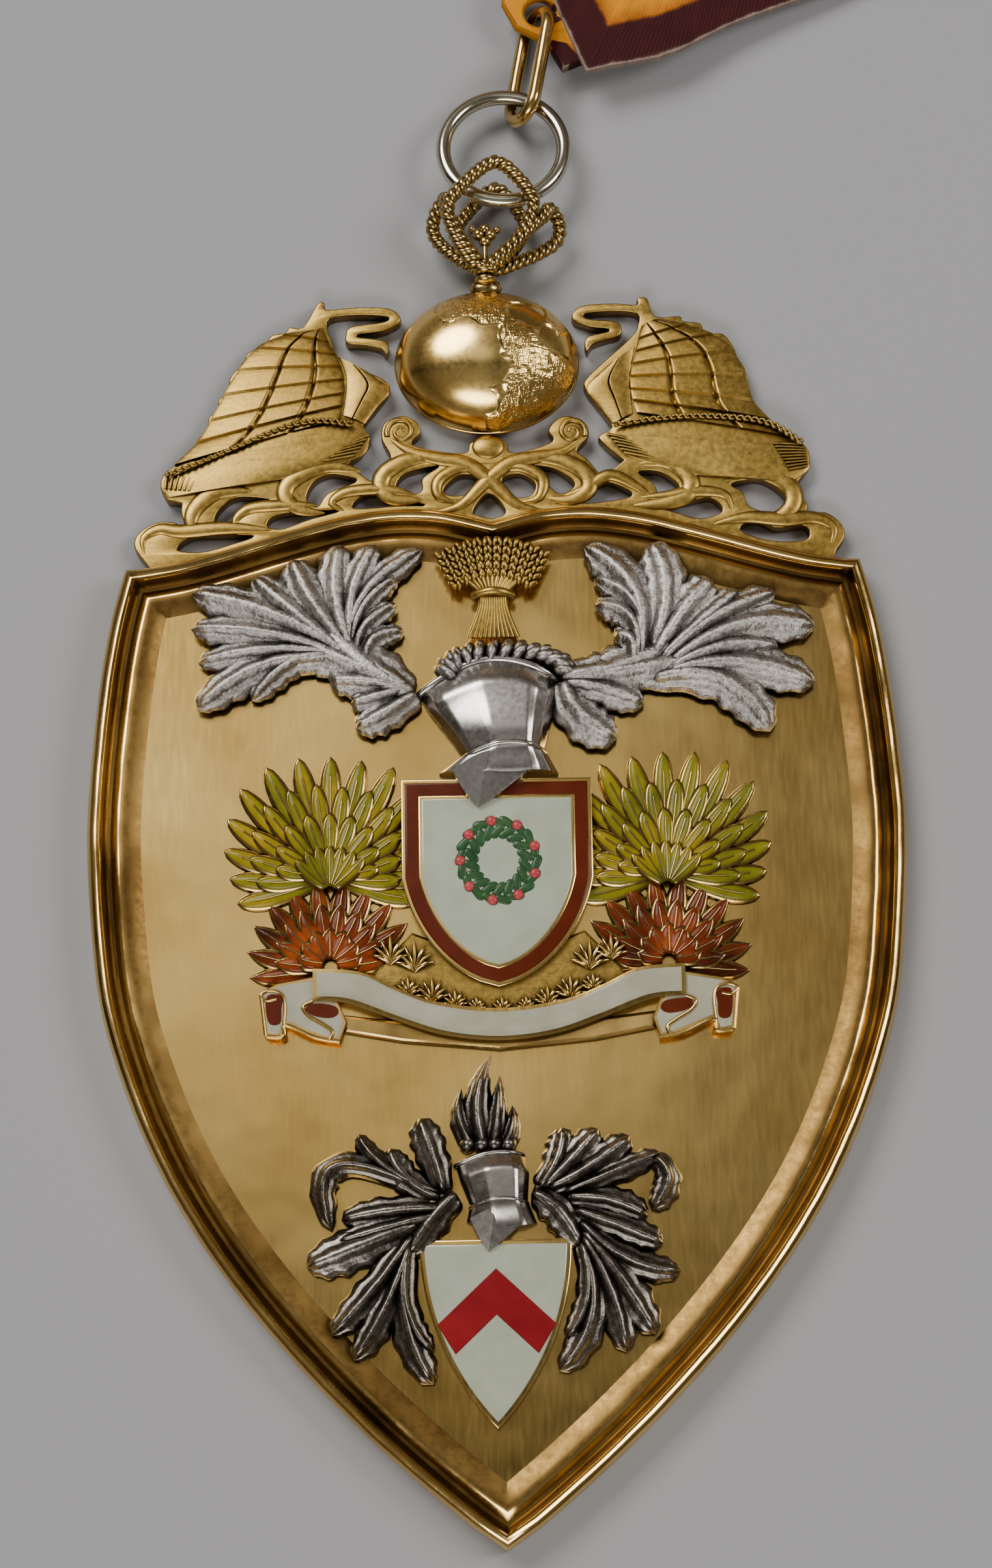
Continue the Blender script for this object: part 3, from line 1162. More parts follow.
def facet_form(rows, foot, width, height, relief):
    """A place on a helmet's front from its shares across and down."""
    def place(u, v):
        down = (1.0 - v) * (len(rows) - 1)
        k = min(len(rows) - 2, int(down))
        t = down - k
        ease = t * t * (3 - 2 * t)
        left, right, low, high, bow, _ = blend(rows[k], rows[k + 1], t)
        rise = blend(rows[k], rows[k + 1], ease)[-1]
        x = foot[0] + width * (left + (right - left) * u)
        y = foot[1] + height * (low + (high - low) * u + bow * math.sin(math.pi * u))
        body, = between(HELMET_PLANES, u)
        return (x, y, FIELD_LEVEL + relief * rise * body)
    return place


def make_helmet(name, rows, foot, width, height, relief, beak, material):
    """A helmet with broad facets, a flared lower band and a pointed beak."""
    shell = sheet_grid(name + "_shell", 70, 60, facet_form(rows, foot, width, height, relief))
    close_to_floor(shell, FIELD_LEVEL)
    smooth(shell, 26.0)
    parts = [shell]
    for edge, row, drop, bow, thick in (("_brow", rows[0], 0.02, rows[0][4], 0.026),
                                        ("_seam", rows[-2], 0.03, 0.05, 0.020)):
        left, right, low, high, _, rise = row
        line = []
        for k in range(25):
            s = k / 24
            x = foot[0] + width * (left + (right - left) * s)
            y = foot[1] + height * (low - drop + (high - low) * s + bow * math.sin(math.pi * s))
            body, = between(HELMET_PLANES, s)
            line.append((x, y, FIELD_LEVEL + relief * rise * body))
        parts.append(stroke(name + edge, line, thick * width, sides=2))
    (x1, y1), (x2, y2), (x3, y3) = [(foot[0] + x * width, foot[1] + y * height) for x, y in beak]

    def wedge(u, v):
        x = x1 + (x2 - x1) * u
        y = y1 + (y2 - y1) * u + 0.10 * height * math.sin(math.pi * u)
        reach = (1 - v) ** 0.85
        pull = 0.042 * math.sin(math.pi * (1 - v))
        ridge = 0.20 * max(0.0, 1.0 - abs(2 * u - 0.9))
        return (x + (x3 - x) * reach + (u - 0.5) * pull * width, y + (y3 - y) * reach,
                FIELD_LEVEL + relief * (0.72 + ridge * (1 - reach) - 0.18 * reach))
    point = sheet_grid(name + "_beak", 24, 24, wedge)
    close_to_floor(point, FIELD_LEVEL)
    smooth(point, 24.0)
    parts.append(point)
    helmet = join(name + "_face", parts)
    paint(helmet, material)
    return settle(helmet, [name])


HELMET_PLANES = (
    # share across, height
    (0.00, 0.30), (0.05, 0.60), (0.12, 0.74), (0.36, 0.97), (0.42, 1.00), (0.78, 1.00), (0.84, 0.95),
    (0.93, 0.72), (1.00, 0.30),
)


def make_torse():
    """Wreath of twisted cloth over the helmet."""
    x0, y0 = TORSE_FOOT
    parts = []
    for row, count in enumerate((15, 13)):
        for k in range(count):
            s = (k + 0.5) / count
            angle = math.pi * (1 - s)
            reach = 0.94 - 0.05 * row
            x = x0 + TORSE_WIDTH / 2 * reach * math.cos(angle)
            y = y0 + (TORSE_HEIGHT * 0.70 - 0.34 * row * MM) * math.sin(angle) ** 0.7
            lump = pebble((x, y, (2.62 + 0.30 * row) * MM), (0.52 * MM, 0.92 * MM, 0.95 * MM),
                          angle - math.pi / 2 - 0.55 + 0.2 * math.sin(9.0 * k), (16, 10))
            parts.append(lump)
    core = stroke("torse_core", [
        (x0 + TORSE_WIDTH / 2 * 0.92 * math.cos(a),
         y0 + TORSE_HEIGHT * 0.66 * max(0.0, math.sin(a)) ** 0.7, 2.3 * MM)
        for a in (math.pi * k / 30 for k in range(31))
    ], 0.72 * MM)
    torse = join("torse_twists", parts + [core])
    paint(torse, FROSTED_SILVER)
    return settle(torse, ["upper_torse"])


def make_sheaf():
    """A tied sheaf of corn."""
    x0, y0 = SHEAF_FOOT
    floor = 2.3 * MM
    parts = []
    for k in range(11):
        s = (k - 5) / 5
        reach = SHEAF_HEIGHT * (0.80 - 0.13 * s * s)
        stem = [(x0 + 1.8 * s * MM, y0 - 0.7 * MM, floor + 0.5 * MM),
                (x0 + 0.9 * s * MM, y0 + 0.36 * SHEAF_HEIGHT, floor + 1.0 * MM),
                (x0 + 3.4 * s * MM, y0 + reach, floor + 0.8 * MM)]
        parts.append(stroke("stalk", smooth_line(stem, 8), 0.24 * MM, sides=2))
        turn = -0.62 * s
        for row in range(5):
            for side in (-1, 1):
                along = reach + (row - 2.0) * 0.62 * MM
                x = x0 + (3.4 * s + 0.22 * side) * MM + math.sin(-turn) * (row - 2) * 0.5 * MM
                y = y0 + along * math.cos(0.25 * s)
                parts.append(pebble((x, y, floor + 1.0 * MM), (0.24 * MM, 0.50 * MM, 0.34 * MM),
                                    turn - 0.35 * side, (8, 6)))
    tie = [(x0 + 1.5 * u * MM, y0 + 0.36 * SHEAF_HEIGHT + 0.2 * MM * (1 - u * u),
            floor + (1.45 - 0.7 * u * u) * MM) for u in (-1, -0.6, -0.2, 0.2, 0.6, 1)]
    parts.append(stroke("tie", smooth_line(tie, 4), 0.36 * MM, sides=3))
    sheaf = join("sheaf_ears", parts)
    paint(sheaf, MATTE_GOLD)
    return settle(sheaf, ["upper_crest"])


PLUME_FORM = (
    # place, width
    (0.00, 0.50), (0.20, 1.00), (0.50, 0.95), (0.75, 0.62), (0.92, 0.25), (1.00, 0.00),
)


def make_plume():
    """A pointed plume of silver over the lower helmet."""
    x0, y0 = PLUME_FOOT
    parts = []
    barbs = ((-0.2, 0.0, -1.6, 3.2, 0.3, 7.1, 2.4), (0.3, 0.0, 0.9, 2.6, 0.9, 5.6, 1.7),
             (-0.9, 0.0, -2.7, 1.9, -1.9, 4.6, 1.6), (0.9, -0.1, 2.2, 1.3, 1.8, 3.3, 1.5))
    for i, (*places, width) in enumerate(barbs):
        points = placed(PLUME_FOOT, places, MM)
        parts.append(leaf(*points, width * MM, FIELD_LEVEL, LEAF_RISE, LEAF_FINE, groove=0.0,
                          form=PLUME_FORM, lift=0.1 * MM * i, flutes=0.3, wave=0.05, keel=0.8))
    for k in range(4):
        parts.append(pebble((x0 + (k - 1.5) * 1.0 * MM, y0 + 0.35 * MM, 2.4 * MM),
                            (0.62 * MM, 0.55 * MM, 0.8 * MM), 0.4))
    plume = join("plume_barbs", parts)
    paint(plume, DARK_SILVER)
    return settle(plume, ["lower_crest"])


def heater(top_middle, width, height, straight, point):
    """Outline of a small shield: straight top, arcs down to a point."""
    steps = 20
    x0, y0 = top_middle
    half = width / 2
    drop = height * (1 - straight)
    radius = (half ** 2 + drop ** 2) / width
    right = []
    for k in range(steps + 1):
        fall = drop * k / steps
        arc = half - radius + math.sqrt(max(0.0, radius ** 2 - fall ** 2))
        line = half * (1 - k / steps)
        right.append((x0 + (1 - point) * arc + point * line, y0 - height * straight - fall))
    left = [(2 * x0 - x, y) for x, y in reversed(right[:-1])]
    outline = ([(x0 + half, y0)] if straight else []) + right + left
    if straight:
        outline.append((x0 - half, y0))
    return counter_clockwise(outline)


def layered_shield(name, outline, layers):
    """Layers of metal and enamel, each smaller than the one below."""
    parts = []
    for inset, level, height, edge, material in layers:
        part = raised(name + "_layer", inwards(outline, inset * MM), level * MM,
                      [(0.0, height * MM), (edge * MM, 0.6 * edge * MM), (edge * MM, 0.1 * edge * MM)])
        smooth(part, 40.0)
        paint(part, material)
        parts.append(part)
    return parts


def make_upper_arms():
    """White enamel shield in a maroon border, with a wreath of green leaves."""
    outline = heater(ARMS_TOP, ARMS_WIDTH, ARMS_HEIGHT, 0.48, 0.2)
    parts = layered_shield("upper_arms", outline, (
        (0.00, 1.62, 1.05, 0.06, POLISHED_GOLD),
        (0.26, 2.60, 0.10, 0.10, BROWN_ENAMEL),
        (1.30, 2.62, 0.16, 0.06, POLISHED_GOLD),
        (1.52, 2.66, 0.14, 0.08, WHITE_ENAMEL),
    ))
    cx, cy = ARMS_TOP[0] + 0.1 * MM, ARMS_TOP[1] - 6.4 * MM
    top = 2.80 * MM
    for k in range(18):
        angle = 2 * math.pi * k / 18
        for side in (-1, 1):
            turn = angle + side * 0.55 + 0.5
            root = Vector((cx + 2.7 * MM * math.cos(angle), cy + 2.9 * MM * math.sin(angle)))
            ahead = Vector((-math.sin(turn), math.cos(turn))) * MM
            part = leaf(root, root + 0.8 * ahead, root + 1.5 * ahead, 0.72 * MM, top, 0.20 * MM, (10, 8))
            parts.append(paint(part, GREEN_ENAMEL))
    for k in range(9):
        angle = 2 * math.pi * (k + 0.5) / 9
        spot = (cx + 2.9 * MM * math.cos(angle), cy + 3.1 * MM * math.sin(angle), top + 0.12 * MM)
        parts.append(paint(pebble(spot, (0.40 * MM, 0.40 * MM, 0.22 * MM)), BERRY_ENAMEL))
    arms = join("upper_arms_enamel", parts)
    return settle(arms, ["upper_arms_shield"])


def make_lower_arms():
    """White enamel shield with a plain red chevron."""
    outline = heater(SMALL_ARMS_TOP, SMALL_ARMS_WIDTH, SMALL_ARMS_HEIGHT, 0.0, 0.0)
    parts = layered_shield("lower_arms", outline, (
        (0.00, 1.62, 0.90, 0.08, POLISHED_GOLD),
        (0.34, 2.46, 0.12, 0.08, WHITE_ENAMEL),
    ))
    corners = (-4.3, -6.1, -3.0, -8.2, 0.0, -5.4, 3.0, -8.2, 4.3, -6.1, 0.0, -2.1)
    chevron = placed(SMALL_ARMS_TOP, corners, MM)
    red = raised("chevron", chevron, 2.58 * MM, [(0.0, 0.10 * MM), (0.05 * MM, 0.04 * MM)])
    parts.append(paint(red, RED_ENAMEL))
    arms = join("lower_arms_enamel", parts)
    return settle(arms, ["lower_arms_shield"])


def fan_points(centre, angle, length, start):
    """Root, bend and tip of one leaf of a fan."""
    turn = math.radians(angle)
    ahead = Vector((math.sin(turn), math.cos(turn)))
    side = Vector((0.0, 1.0)) - ahead * ahead.y
    root = Vector(centre) + ahead * start
    bend = Vector(centre) + ahead * 0.55 * length - side * 0.06 * length
    tip = Vector(centre) + ahead * length + side * 0.05 * length
    return root, bend, tip


FAN_FORM = ((0.00, 0.40), (0.30, 0.75), (0.65, 1.00), (0.85, 0.80), (0.95, 0.45), (1.00, 0.0))
PETAL_FORM = ((0.00, 0.55), (0.35, 0.90), (0.65, 1.00), (0.85, 0.62), (1.00, 0.0))
FAN_REACH = (
    # angle from upright towards the small shield in degrees, length
    (-180, 0.70), (-100, 0.70), (-40, 0.98), (10, 0.90), (35, 0.96), (80, 0.70), (180, 0.6),
)


def enamel_leaf(points, width, level, form, material):
    """One enamelled leaf in a raised gold rim."""
    root, bend, tip = points
    back = (tip - bend).normalized() * 0.20 * MM
    rim = leaf(root, bend, tip, width, level, 0.34 * MM, (12, 14), groove=0.0, form=form)
    inner = leaf(root, bend, tip - back, width - 0.52 * MM, level + 0.10 * MM, 0.34 * MM, (12, 14),
                 groove=0.0, form=form)
    vein = stroke("vein", [
        (*(root * (1 - t) ** 2 + bend * 2 * t * (1 - t) + tip * t ** 2), level + 0.44 * MM)
        for t in (0.05, 0.25, 0.45, 0.65, 0.80)
    ], 0.06 * MM, sides=1)
    return [paint(rim, WIRE_GOLD), paint(inner, material), paint(vein, WIRE_GOLD)]


def make_spray(name, side):
    """Fan of enamelled leaves over a pointed blossom."""
    cx = LEFT_SPRAY_X if side < 0 else RIGHT_SPRAY_X
    parts = []
    for share, count, spread, level in ((1.00, 15, 108, 1.72), (0.76, 12, 96, 2.02), (0.52, 9, 84, 2.32)):
        for k in range(count):
            angle = -spread + 2 * spread * k / (count - 1)
            wide, = between(FAN_REACH, angle)
            length = share * wide * SPRAY_REACH
            points = fan_points((cx, SPRAY_Y), -side * angle, length, 0.08 * SPRAY_REACH)
            width = 1.85 * MM * (0.72 + 0.28 * share)
            parts += enamel_leaf(points, width, level * MM, FAN_FORM, LEAF_ENAMEL)
    for share, count, spread, level in ((1.00, 12, 100, 1.72), (0.70, 10, 88, 2.02), (0.42, 7, 80, 2.30)):
        for k in range(count):
            angle = -spread + 2 * spread * k / (count - 1)
            length = share * BLOSSOM_REACH * (0.64 + 0.10 * math.sin(math.pi * k / (count - 1)))
            points = fan_points((cx, BLOSSOM_Y), angle, length, 0.05 * BLOSSOM_REACH)
            parts += enamel_leaf(points, 1.80 * MM, level * MM, PETAL_FORM, PETAL_ENAMEL)
    for k in range(7):
        angle = -48 + 16 * k
        points = fan_points((cx, SPRAY_Y - 1.2 * MM), angle, 0.36 * SPRAY_REACH, 0.03 * SPRAY_REACH)
        parts += enamel_leaf(points, 1.35 * MM, 2.60 * MM, PETAL_FORM, LEAF_ENAMEL)
    spray = join(name + "_enamel", parts)
    return settle(spray, [name])


def scroll_line(shares, side=1):
    """Places on the scroll from their shares of its half span and its drop."""
    return [(side * u * SCROLL_SPAN / 2, SCROLL_Y + v * SCROLL_DROP) for u, v in shares]


def scroll_strip(name, inset, floor, top):
    """The front band of the scroll between its upper and lower edge, drawn in by an inset."""
    lines = []
    for line, side in ((scroll_line(reversed(SCROLL_FOOT)), 1.0), (scroll_line(SCROLL_TOP), -1.0)):
        line = even_line(smooth_line([(-x, y) for x, y in reversed(line[1:])] + line, 6), 81)
        moved = []
        for i, (x, y) in enumerate(line):
            ahead = Vector(line[min(80, i + 1)]) - Vector(line[max(0, i - 1)])
            ahead.normalize()
            moved.append((x - ahead.y * side * inset, y + ahead.x * side * inset))
        shift = inset / (moved[-1][0] - moved[0][0]) * 2
        lines.append([(x * (1 - shift), y) for x, y in moved])

    def place(u, v):
        soft = min(1.0, 8 * u, 8 * (1 - u), 30 * v, 30 * (1 - v))
        return (*across_lines(*lines, u, v), top - 0.06 * MM * (1 - soft))
    piece = sheet_grid(name, 12, 80, place)
    close_to_floor(piece, floor)
    smooth(piece, 45.0)
    return piece


SCROLL_SHADES = (
    # outline in shares of the scroll
    ((0.68, -0.50), (0.76, -0.46), (0.80, -0.52), (0.77, -0.62), (0.70, -0.66), (0.665, -0.60)),
    ((0.90, -0.36), (0.955, -0.34), (0.965, -0.50), (0.95, -0.72), (0.905, -0.72), (0.90, -0.54)),
)
SCROLL_CURLS = (
    # line in shares of the scroll, radius in millimetres
    (((0.77, -0.43), (0.81, -0.50), (0.79, -0.62), (0.73, -0.74), (0.69, -0.84), (0.70, -0.95)), 0.15),
    (((0.66, -0.98), (0.76, -0.92), (0.88, -0.75), (0.89, -0.90), (0.96, -0.90)), 0.17),
    (((0.89, -0.74), (0.885, -0.50), (0.90, -0.33), (0.95, -0.28), (0.985, -0.34), (0.96, -0.42),
      (0.92, -0.40)), 0.13),
    (((0.985, -0.34), (0.975, -0.60), (0.965, -0.88)), 0.13),
)


def make_scroll():
    """Bare scroll with gold edges and two folded ends."""
    band = scroll_strip("scroll_wall", 0.0, FIELD_LEVEL, 3.02 * MM)
    face = scroll_strip("scroll_face", 0.30 * MM, 2.8 * MM, 3.12 * MM)
    parts = [paint(band, POLISHED_GOLD), paint(face, SCROLL_ENAMEL)]
    for side in (-1, 1):
        tail = scroll_line(SCROLL_TAIL, side)
        wall = raised("scroll_tail_wall", tail, FIELD_LEVEL, [(0.0, 0.95 * MM), (0.08 * MM, 0.05 * MM)])
        inner = raised("scroll_tail_face", inwards(tail, 0.26 * MM), 2.45 * MM,
                       [(0.0, 0.20 * MM), (0.06 * MM, 0.03 * MM)])
        parts += [paint(wall, POLISHED_GOLD), paint(inner, SCROLL_ENAMEL)]
        for shares in SCROLL_SHADES:
            fold = smooth_line(scroll_line(shares, side), 4, closed=True)
            dark = raised("scroll_fold", fold, 2.56 * MM, [(0.0, 0.16 * MM), (0.06 * MM, 0.02 * MM)])
            parts.append(paint(dark, BROWN_ENAMEL))
        for shares, radius in SCROLL_CURLS:
            line = smooth_line([(x, y, 2.72 * MM) for x, y in scroll_line(shares, side)], 6)
            parts.append(paint(stroke("scroll_curl", line, radius * MM, sides=2), POLISHED_GOLD))
    lip = raised("scroll_lip", mirrored(scroll_line(SCROLL_LIP)), FIELD_LEVEL,
                 [(0.0, 0.45 * MM), (0.10 * MM, 0.12 * MM), (0.14 * MM, 0.06 * MM)])
    parts.append(paint(lip, RIM_GOLD))
    scroll = join("scroll_band", parts)
    return settle(scroll, ["scroll"])


TUFTS = (
    # x, y and size in millimetres
    (-8.1, 5.5, 2.3), (-6.3, 4.9, 2.5), (-6.8, 3.0, 1.7), (-5.0, 2.5, 2.1), (-3.3, 2.0, 1.7),
    (-1.7, 1.8, 1.3), (0.2, 1.6, 1.5), (2.0, 1.8, 1.3), (3.6, 2.1, 1.8), (5.3, 2.6, 2.1),
    (7.0, 3.2, 1.6), (6.8, 4.9, 2.4), (8.4, 5.6, 2.1),
)


def make_ground():
    """Grassy ground with small tufts."""
    shape = ((0.0, 0.00), (0.25, 0.36), (0.36, 0.50), (0.50, 0.02), (0.58, -0.30), (0.0, -0.62))
    soil = raised("ground_soil", mirrored(scroll_line(shape)), FIELD_LEVEL,
                  [(0.0, 0.5 * MM), (0.2 * MM, 0.15 * MM)])
    parts = [paint(soil, MATTE_GOLD)]
    for x, y, size in TUFTS:
        for k in range(7):
            lean = (k - 3) * 0.34
            reach = size * (1.0 - 0.10 * abs(k - 3))
            points = [((x + reach * s * math.sin(lean * (0.6 + 0.5 * s))) * MM,
                       (y + reach * s * math.cos(lean * (0.6 + 0.5 * s))) * MM,
                       (2.18 + 0.42 * math.sin(2.4 * s)) * MM) for s in (0.0, 0.3, 0.6, 0.85, 1.0)]
            radii = [r * MM for r in (0.10, 0.17, 0.17, 0.10, 0.03)]
            blade = stroke("blade", points, radii, sides=1)
            parts.append(paint(blade, MATTE_GOLD if k % 2 else RIM_GOLD))
    ground = join("ground_tufts", parts)
    return settle(ground, ["ground"])


def rope(name, path, facing, radius, lay):
    """Two wires twisted along a closed path."""
    loop = even_line(path + [path[0]], 181)[:-1]
    parts = []
    for strand in (0, 1):
        points = []
        for k, here in enumerate(loop):
            ahead = (Vector(loop[(k + 1) % 180]) - Vector(loop[k - 1])).normalized()
            side = ahead.cross(facing).normalized()
            lift = side.cross(ahead)
            angle = 2 * math.pi * (k * lay / 180 + strand / 2)
            turned = math.cos(angle) * side + math.sin(angle) * lift
            points.append(tuple(Vector(here) + 0.5 * radius * turned))
        parts.append(stroke(name, points, 0.58 * radius, sides=1, closed=True))
    return parts


CROWN_FORM = (
    # share of the height, share of the width
    (0.00, 0.00), (0.02, 0.18), (0.08, 0.38), (0.20, 0.62), (0.36, 0.86), (0.50, 1.00), (0.62, 0.98),
    (0.76, 0.72), (0.88, 0.44), (0.96, 0.24), (1.00, 0.00),
)
NUGGETS = (
    # x, y, z and size of the beads between the loops, in millimetres
    (0.0, 3.6, 0.0, 0.50), (-0.5, 4.2, 0.1, 0.52), (0.45, 4.1, 0.2, 0.48), (0.0, 4.7, 0.0, 0.46),
    (-1.0, 4.8, -0.2, 0.34), (0.95, 4.7, -0.2, 0.34),
)


def make_crown():
    """Four loops of twisted wire on a short stem."""
    x0, cy, _, ry = middle_and_half("globe")
    share = (CROWN_AXIS_Z - CROWN_WIRE - GLOBE_PLATE) / GLOBE_RISE
    y0 = cy + ry * math.sqrt(1 - share ** 2) + SEAT
    depth = CROWN_DEPTH / 2
    loops = (
        (0.0, CROWN_HEIGHT, CROWN_WIDTH, depth, 0.0),
        (math.pi, 0.94 * CROWN_HEIGHT, 0.8 * CROWN_WIDTH, depth, 0.0),
        (-math.pi / 2, 0.74 * CROWN_HEIGHT, 0.42 * CROWN_WIDTH, 0.76 * CROWN_SPREAD, math.radians(30.0)),
        (math.pi / 2, 0.62 * CROWN_HEIGHT, 0.50 * CROWN_WIDTH, 0.82 * CROWN_SPREAD, -math.radians(38.0)),
    )
    parts = []
    for turn, height, width, spread, swing in loops:
        facing = Vector((math.sin(turn), 0.0, math.cos(turn)))
        across = Vector((math.cos(turn + swing), 0.0, -math.sin(turn + swing)))
        path = []
        for k in range(72):
            angle = 2 * math.pi * k / 72
            rise = 0.5 * (1 - math.cos(angle))
            wide = 0.5 * width * math.copysign(between(CROWN_FORM, rise)[0], math.sin(angle))
            out = 0.3 * CROWN_WIRE + spread * math.sin(0.62 * math.pi * rise)
            base = Vector((x0 + CROWN_LEAN * rise, y0 + 1.4 * CROWN_WIRE + rise * height, CROWN_AXIS_Z))
            path.append(tuple(base + out * facing + wide * across))
        length = sum(math.dist(a, b) for a, b in zip(path, path[1:]))
        parts += rope("crown_wire", path, facing, 0.66 * CROWN_WIRE, round(length / (1.25 * MM)))
    for rise, wide in ((0.35, 1.05), (1.15, 1.20), (1.95, 0.9)):
        parts.append(pebble((x0, y0 + rise * CROWN_WIRE, CROWN_AXIS_Z),
                            (wide * CROWN_WIRE, 0.52 * CROWN_WIRE, wide * CROWN_WIRE), 0.0, (20, 12)))
    seat = (x0, y0 - 0.15 * MM, CROWN_AXIS_Z - 0.8 * CROWN_WIRE)
    parts.append(pebble(seat, (1.3 * MM, 0.9 * MM, 0.8 * MM)))
    for x, y, z, size in NUGGETS:
        parts.append(pebble((x0 + x * MM, y0 + y * MM, CROWN_AXIS_Z + z * MM), [size * MM] * 3))
    wire = [(x0, y0 + s * MM, CROWN_AXIS_Z) for s in (1.0, 2.0, 3.0, 3.8)]
    parts.append(stroke("nugget_wire", wire, 0.22 * MM))
    crown = join("crown_wires", parts)
    paint(crown, WIRE_GOLD)
    return settle(crown, ["crown_bail"])


def make_ring():
    """Plain ring, one end raised where it passes through the crown."""
    cx, cy = middle_and_half("suspension_ring")[:2]
    radius = (RING_OUTER - RING_WIRE) / 2
    path = []
    for k in range(120):
        angle = 2 * math.pi * k / 120
        share = 0.5 * (1 + math.sin(angle))
        level = CROWN_AXIS_Z + (RING_TOP_Z - CROWN_AXIS_Z) * share
        path.append((cx + radius * math.cos(angle), cy + radius * math.sin(angle), level))
    ring = stroke("ring_wire", path, RING_WIRE / 2, sides=7, closed=True)
    paint(ring, RING_SILVER)
    return settle(ring, ["suspension_ring"])


def make_link():
    """Oval link between the ring and the ribbon's eye."""
    eye = Vector((LINK_EYE[0], LINK_EYE[1], RING_TOP_Z))
    rx, ry = middle_and_half("suspension_ring")[:2]
    radius = (RING_OUTER - RING_WIRE) / 2
    turn = math.radians(LINK_PLACE)
    ring_top = Vector((rx + radius * math.sin(turn), ry + radius * math.cos(turn), RING_TOP_Z))
    along = (ring_top - eye).normalized()
    length = (ring_top - eye).length + (RING_WIRE + LINK_WIRE) / 2 + SEAT + LINK_SLACK
    middle = eye + along * length / 2
    across = Vector((0.55, 0.0, 0.83))
    across = (across - along * across.dot(along)).normalized()
    half_width = (LINK_WIDTH - LINK_WIRE) / 2
    straight = length / 2 - half_width
    path = []
    for end in (1, -1):
        for k in range(25):
            angle = math.pi * (k / 24 - 0.5)
            shift = end * (straight + half_width * math.cos(angle))
            path.append(tuple(middle + along * shift + across * end * half_width * math.sin(angle)))
    link = stroke("link_wire", path, LINK_WIRE / 2, sides=5, closed=True)
    paint(link, RIM_GOLD)
    return settle(link, ["ribbon_link"])


def ribbon_rows():
    """Outer and inner edge of the ribbon, section by section round the loop."""
    tip = Vector(RIBBON_TIP)
    turns = (math.radians(RIBBON_RIGHT_ANGLE), math.radians(RIBBON_LEFT_ANGLE))
    right, left = (Vector((math.cos(a), math.sin(a))) for a in turns)
    half_angle = (turns[1] - turns[0]) / 2
    crotch = tip + (right + left).normalized() * RIBBON_WIDTH / math.sin(half_angle)
    reach = RIBBON_WIDTH / math.tan(half_angle)
    spare = 0.1 * RIBBON_WIDTH
    up = Vector((0.0, 0.0, 1.0))
    rest = RIBBON_THICKNESS / 2

    def fall(share):
        return Vector((0.0, 0.0, rest + (RIBBON_LIFT - rest) * (1 - share) ** 1.5))

    def fan(direction, share):
        outer = (tip + direction * share * (reach + spare)).to_3d() + fall(share)
        inner = (crotch + direction * share * spare).to_3d() + fall(1.0)
        return outer, inner
    rows = [fan(right, k / 40) for k in range(41)]
    start = tip + right * (reach + 2 * spare) + Vector((-right.y, right.x)) * RIBBON_WIDTH / 2
    end = tip + left * (reach + 2 * spare) + Vector((left.y, -left.x)) * RIBBON_WIDTH / 2
    around = [(x * LOOP_REACH, y * LOOP_REACH, lean) for x, y, lean in RIBBON_ROUTE]
    route = [(start.x, start.y, 0.0), *around, (end.x, end.y, 0.0)]
    line = smooth_line(route, 24)
    for i, (x, y, lean) in enumerate(line):
        ahead = Vector(line[min(i + 1, len(line) - 1)][:2]) - Vector(line[max(i - 1, 0)][:2])
        if i == 0:
            ahead = right.copy()
        if i == len(line) - 1:
            ahead = -left
        ahead.normalize()
        inward = Vector((-ahead.y, ahead.x, 0.0))
        angle = math.radians(max(0.0, min(90.0, lean)))
        across = (inward * math.cos(angle) + up * math.sin(angle)) * RIBBON_WIDTH / 2
        level = rest * math.cos(angle) + RIBBON_WIDTH / 2 * math.sin(angle)
        middle = Vector((x, y, level))
        rows.append((middle - across, middle + across))
    rows += [fan(left, k / 40) for k in range(40, -1, -1)]
    return rows


def ribbon_cloth():
    """Ribbed silk with maroon borders and a pale selvedge."""
    material, nodes, links, shader, place = new_material("ribbon_cloth")
    weave = place.outputs["UV"]
    thread = noise_node(nodes, links, place.outputs["Object"], 900.0, 3.0)
    wobble = math_node(nodes, links, "MULTIPLY_ADD", thread, 0.012, split_node(nodes, links, weave)["X"])
    yellow, deep = (0.66, 0.255, 0.004), (0.44, 0.13, 0.004)
    maroon, pale = (0.042, 0.0045, 0.0055), (0.26, 0.19, 0.15)
    stripes = ramp_node(nodes, links, wobble, (
        (0.000, pale), (0.008, pale), (0.012, maroon), (0.088, maroon), (0.094, deep), (0.12, yellow),
        (0.89, yellow), (0.915, deep), (0.921, maroon), (0.988, maroon), (0.993, pale)))
    glints = noise_node(nodes, links, weave, 1.0, 3.0, 0.6, (14.0, 900.0, 1.0))
    tone = ramp_node(nodes, links, glints, ((0.3, grey(0.60)), (0.7, grey(1.0))))
    links.new(multiply(nodes, links, stripes, tone), shader.inputs["Base Color"])
    tune(shader, {"Roughness": 0.6, "Specular IOR Level": 0.12, "Sheen Weight": 0.02,
                  "Sheen Roughness": 0.4})
    ribs = tune(nodes.new("ShaderNodeTexWave"), {"Scale": 1.0, "Distortion": 0.6})
    ribs.bands_direction = "Y"
    links.new(stretched(nodes, links, weave, (3.0, 1150.0, 1.0)), ribs.inputs["Vector"])
    add_bumps(nodes, links, shader, [(ribs.outputs["Fac"], 0.05 * MM, 0.7), (thread, 0.04 * MM, 0.8)])
    return material


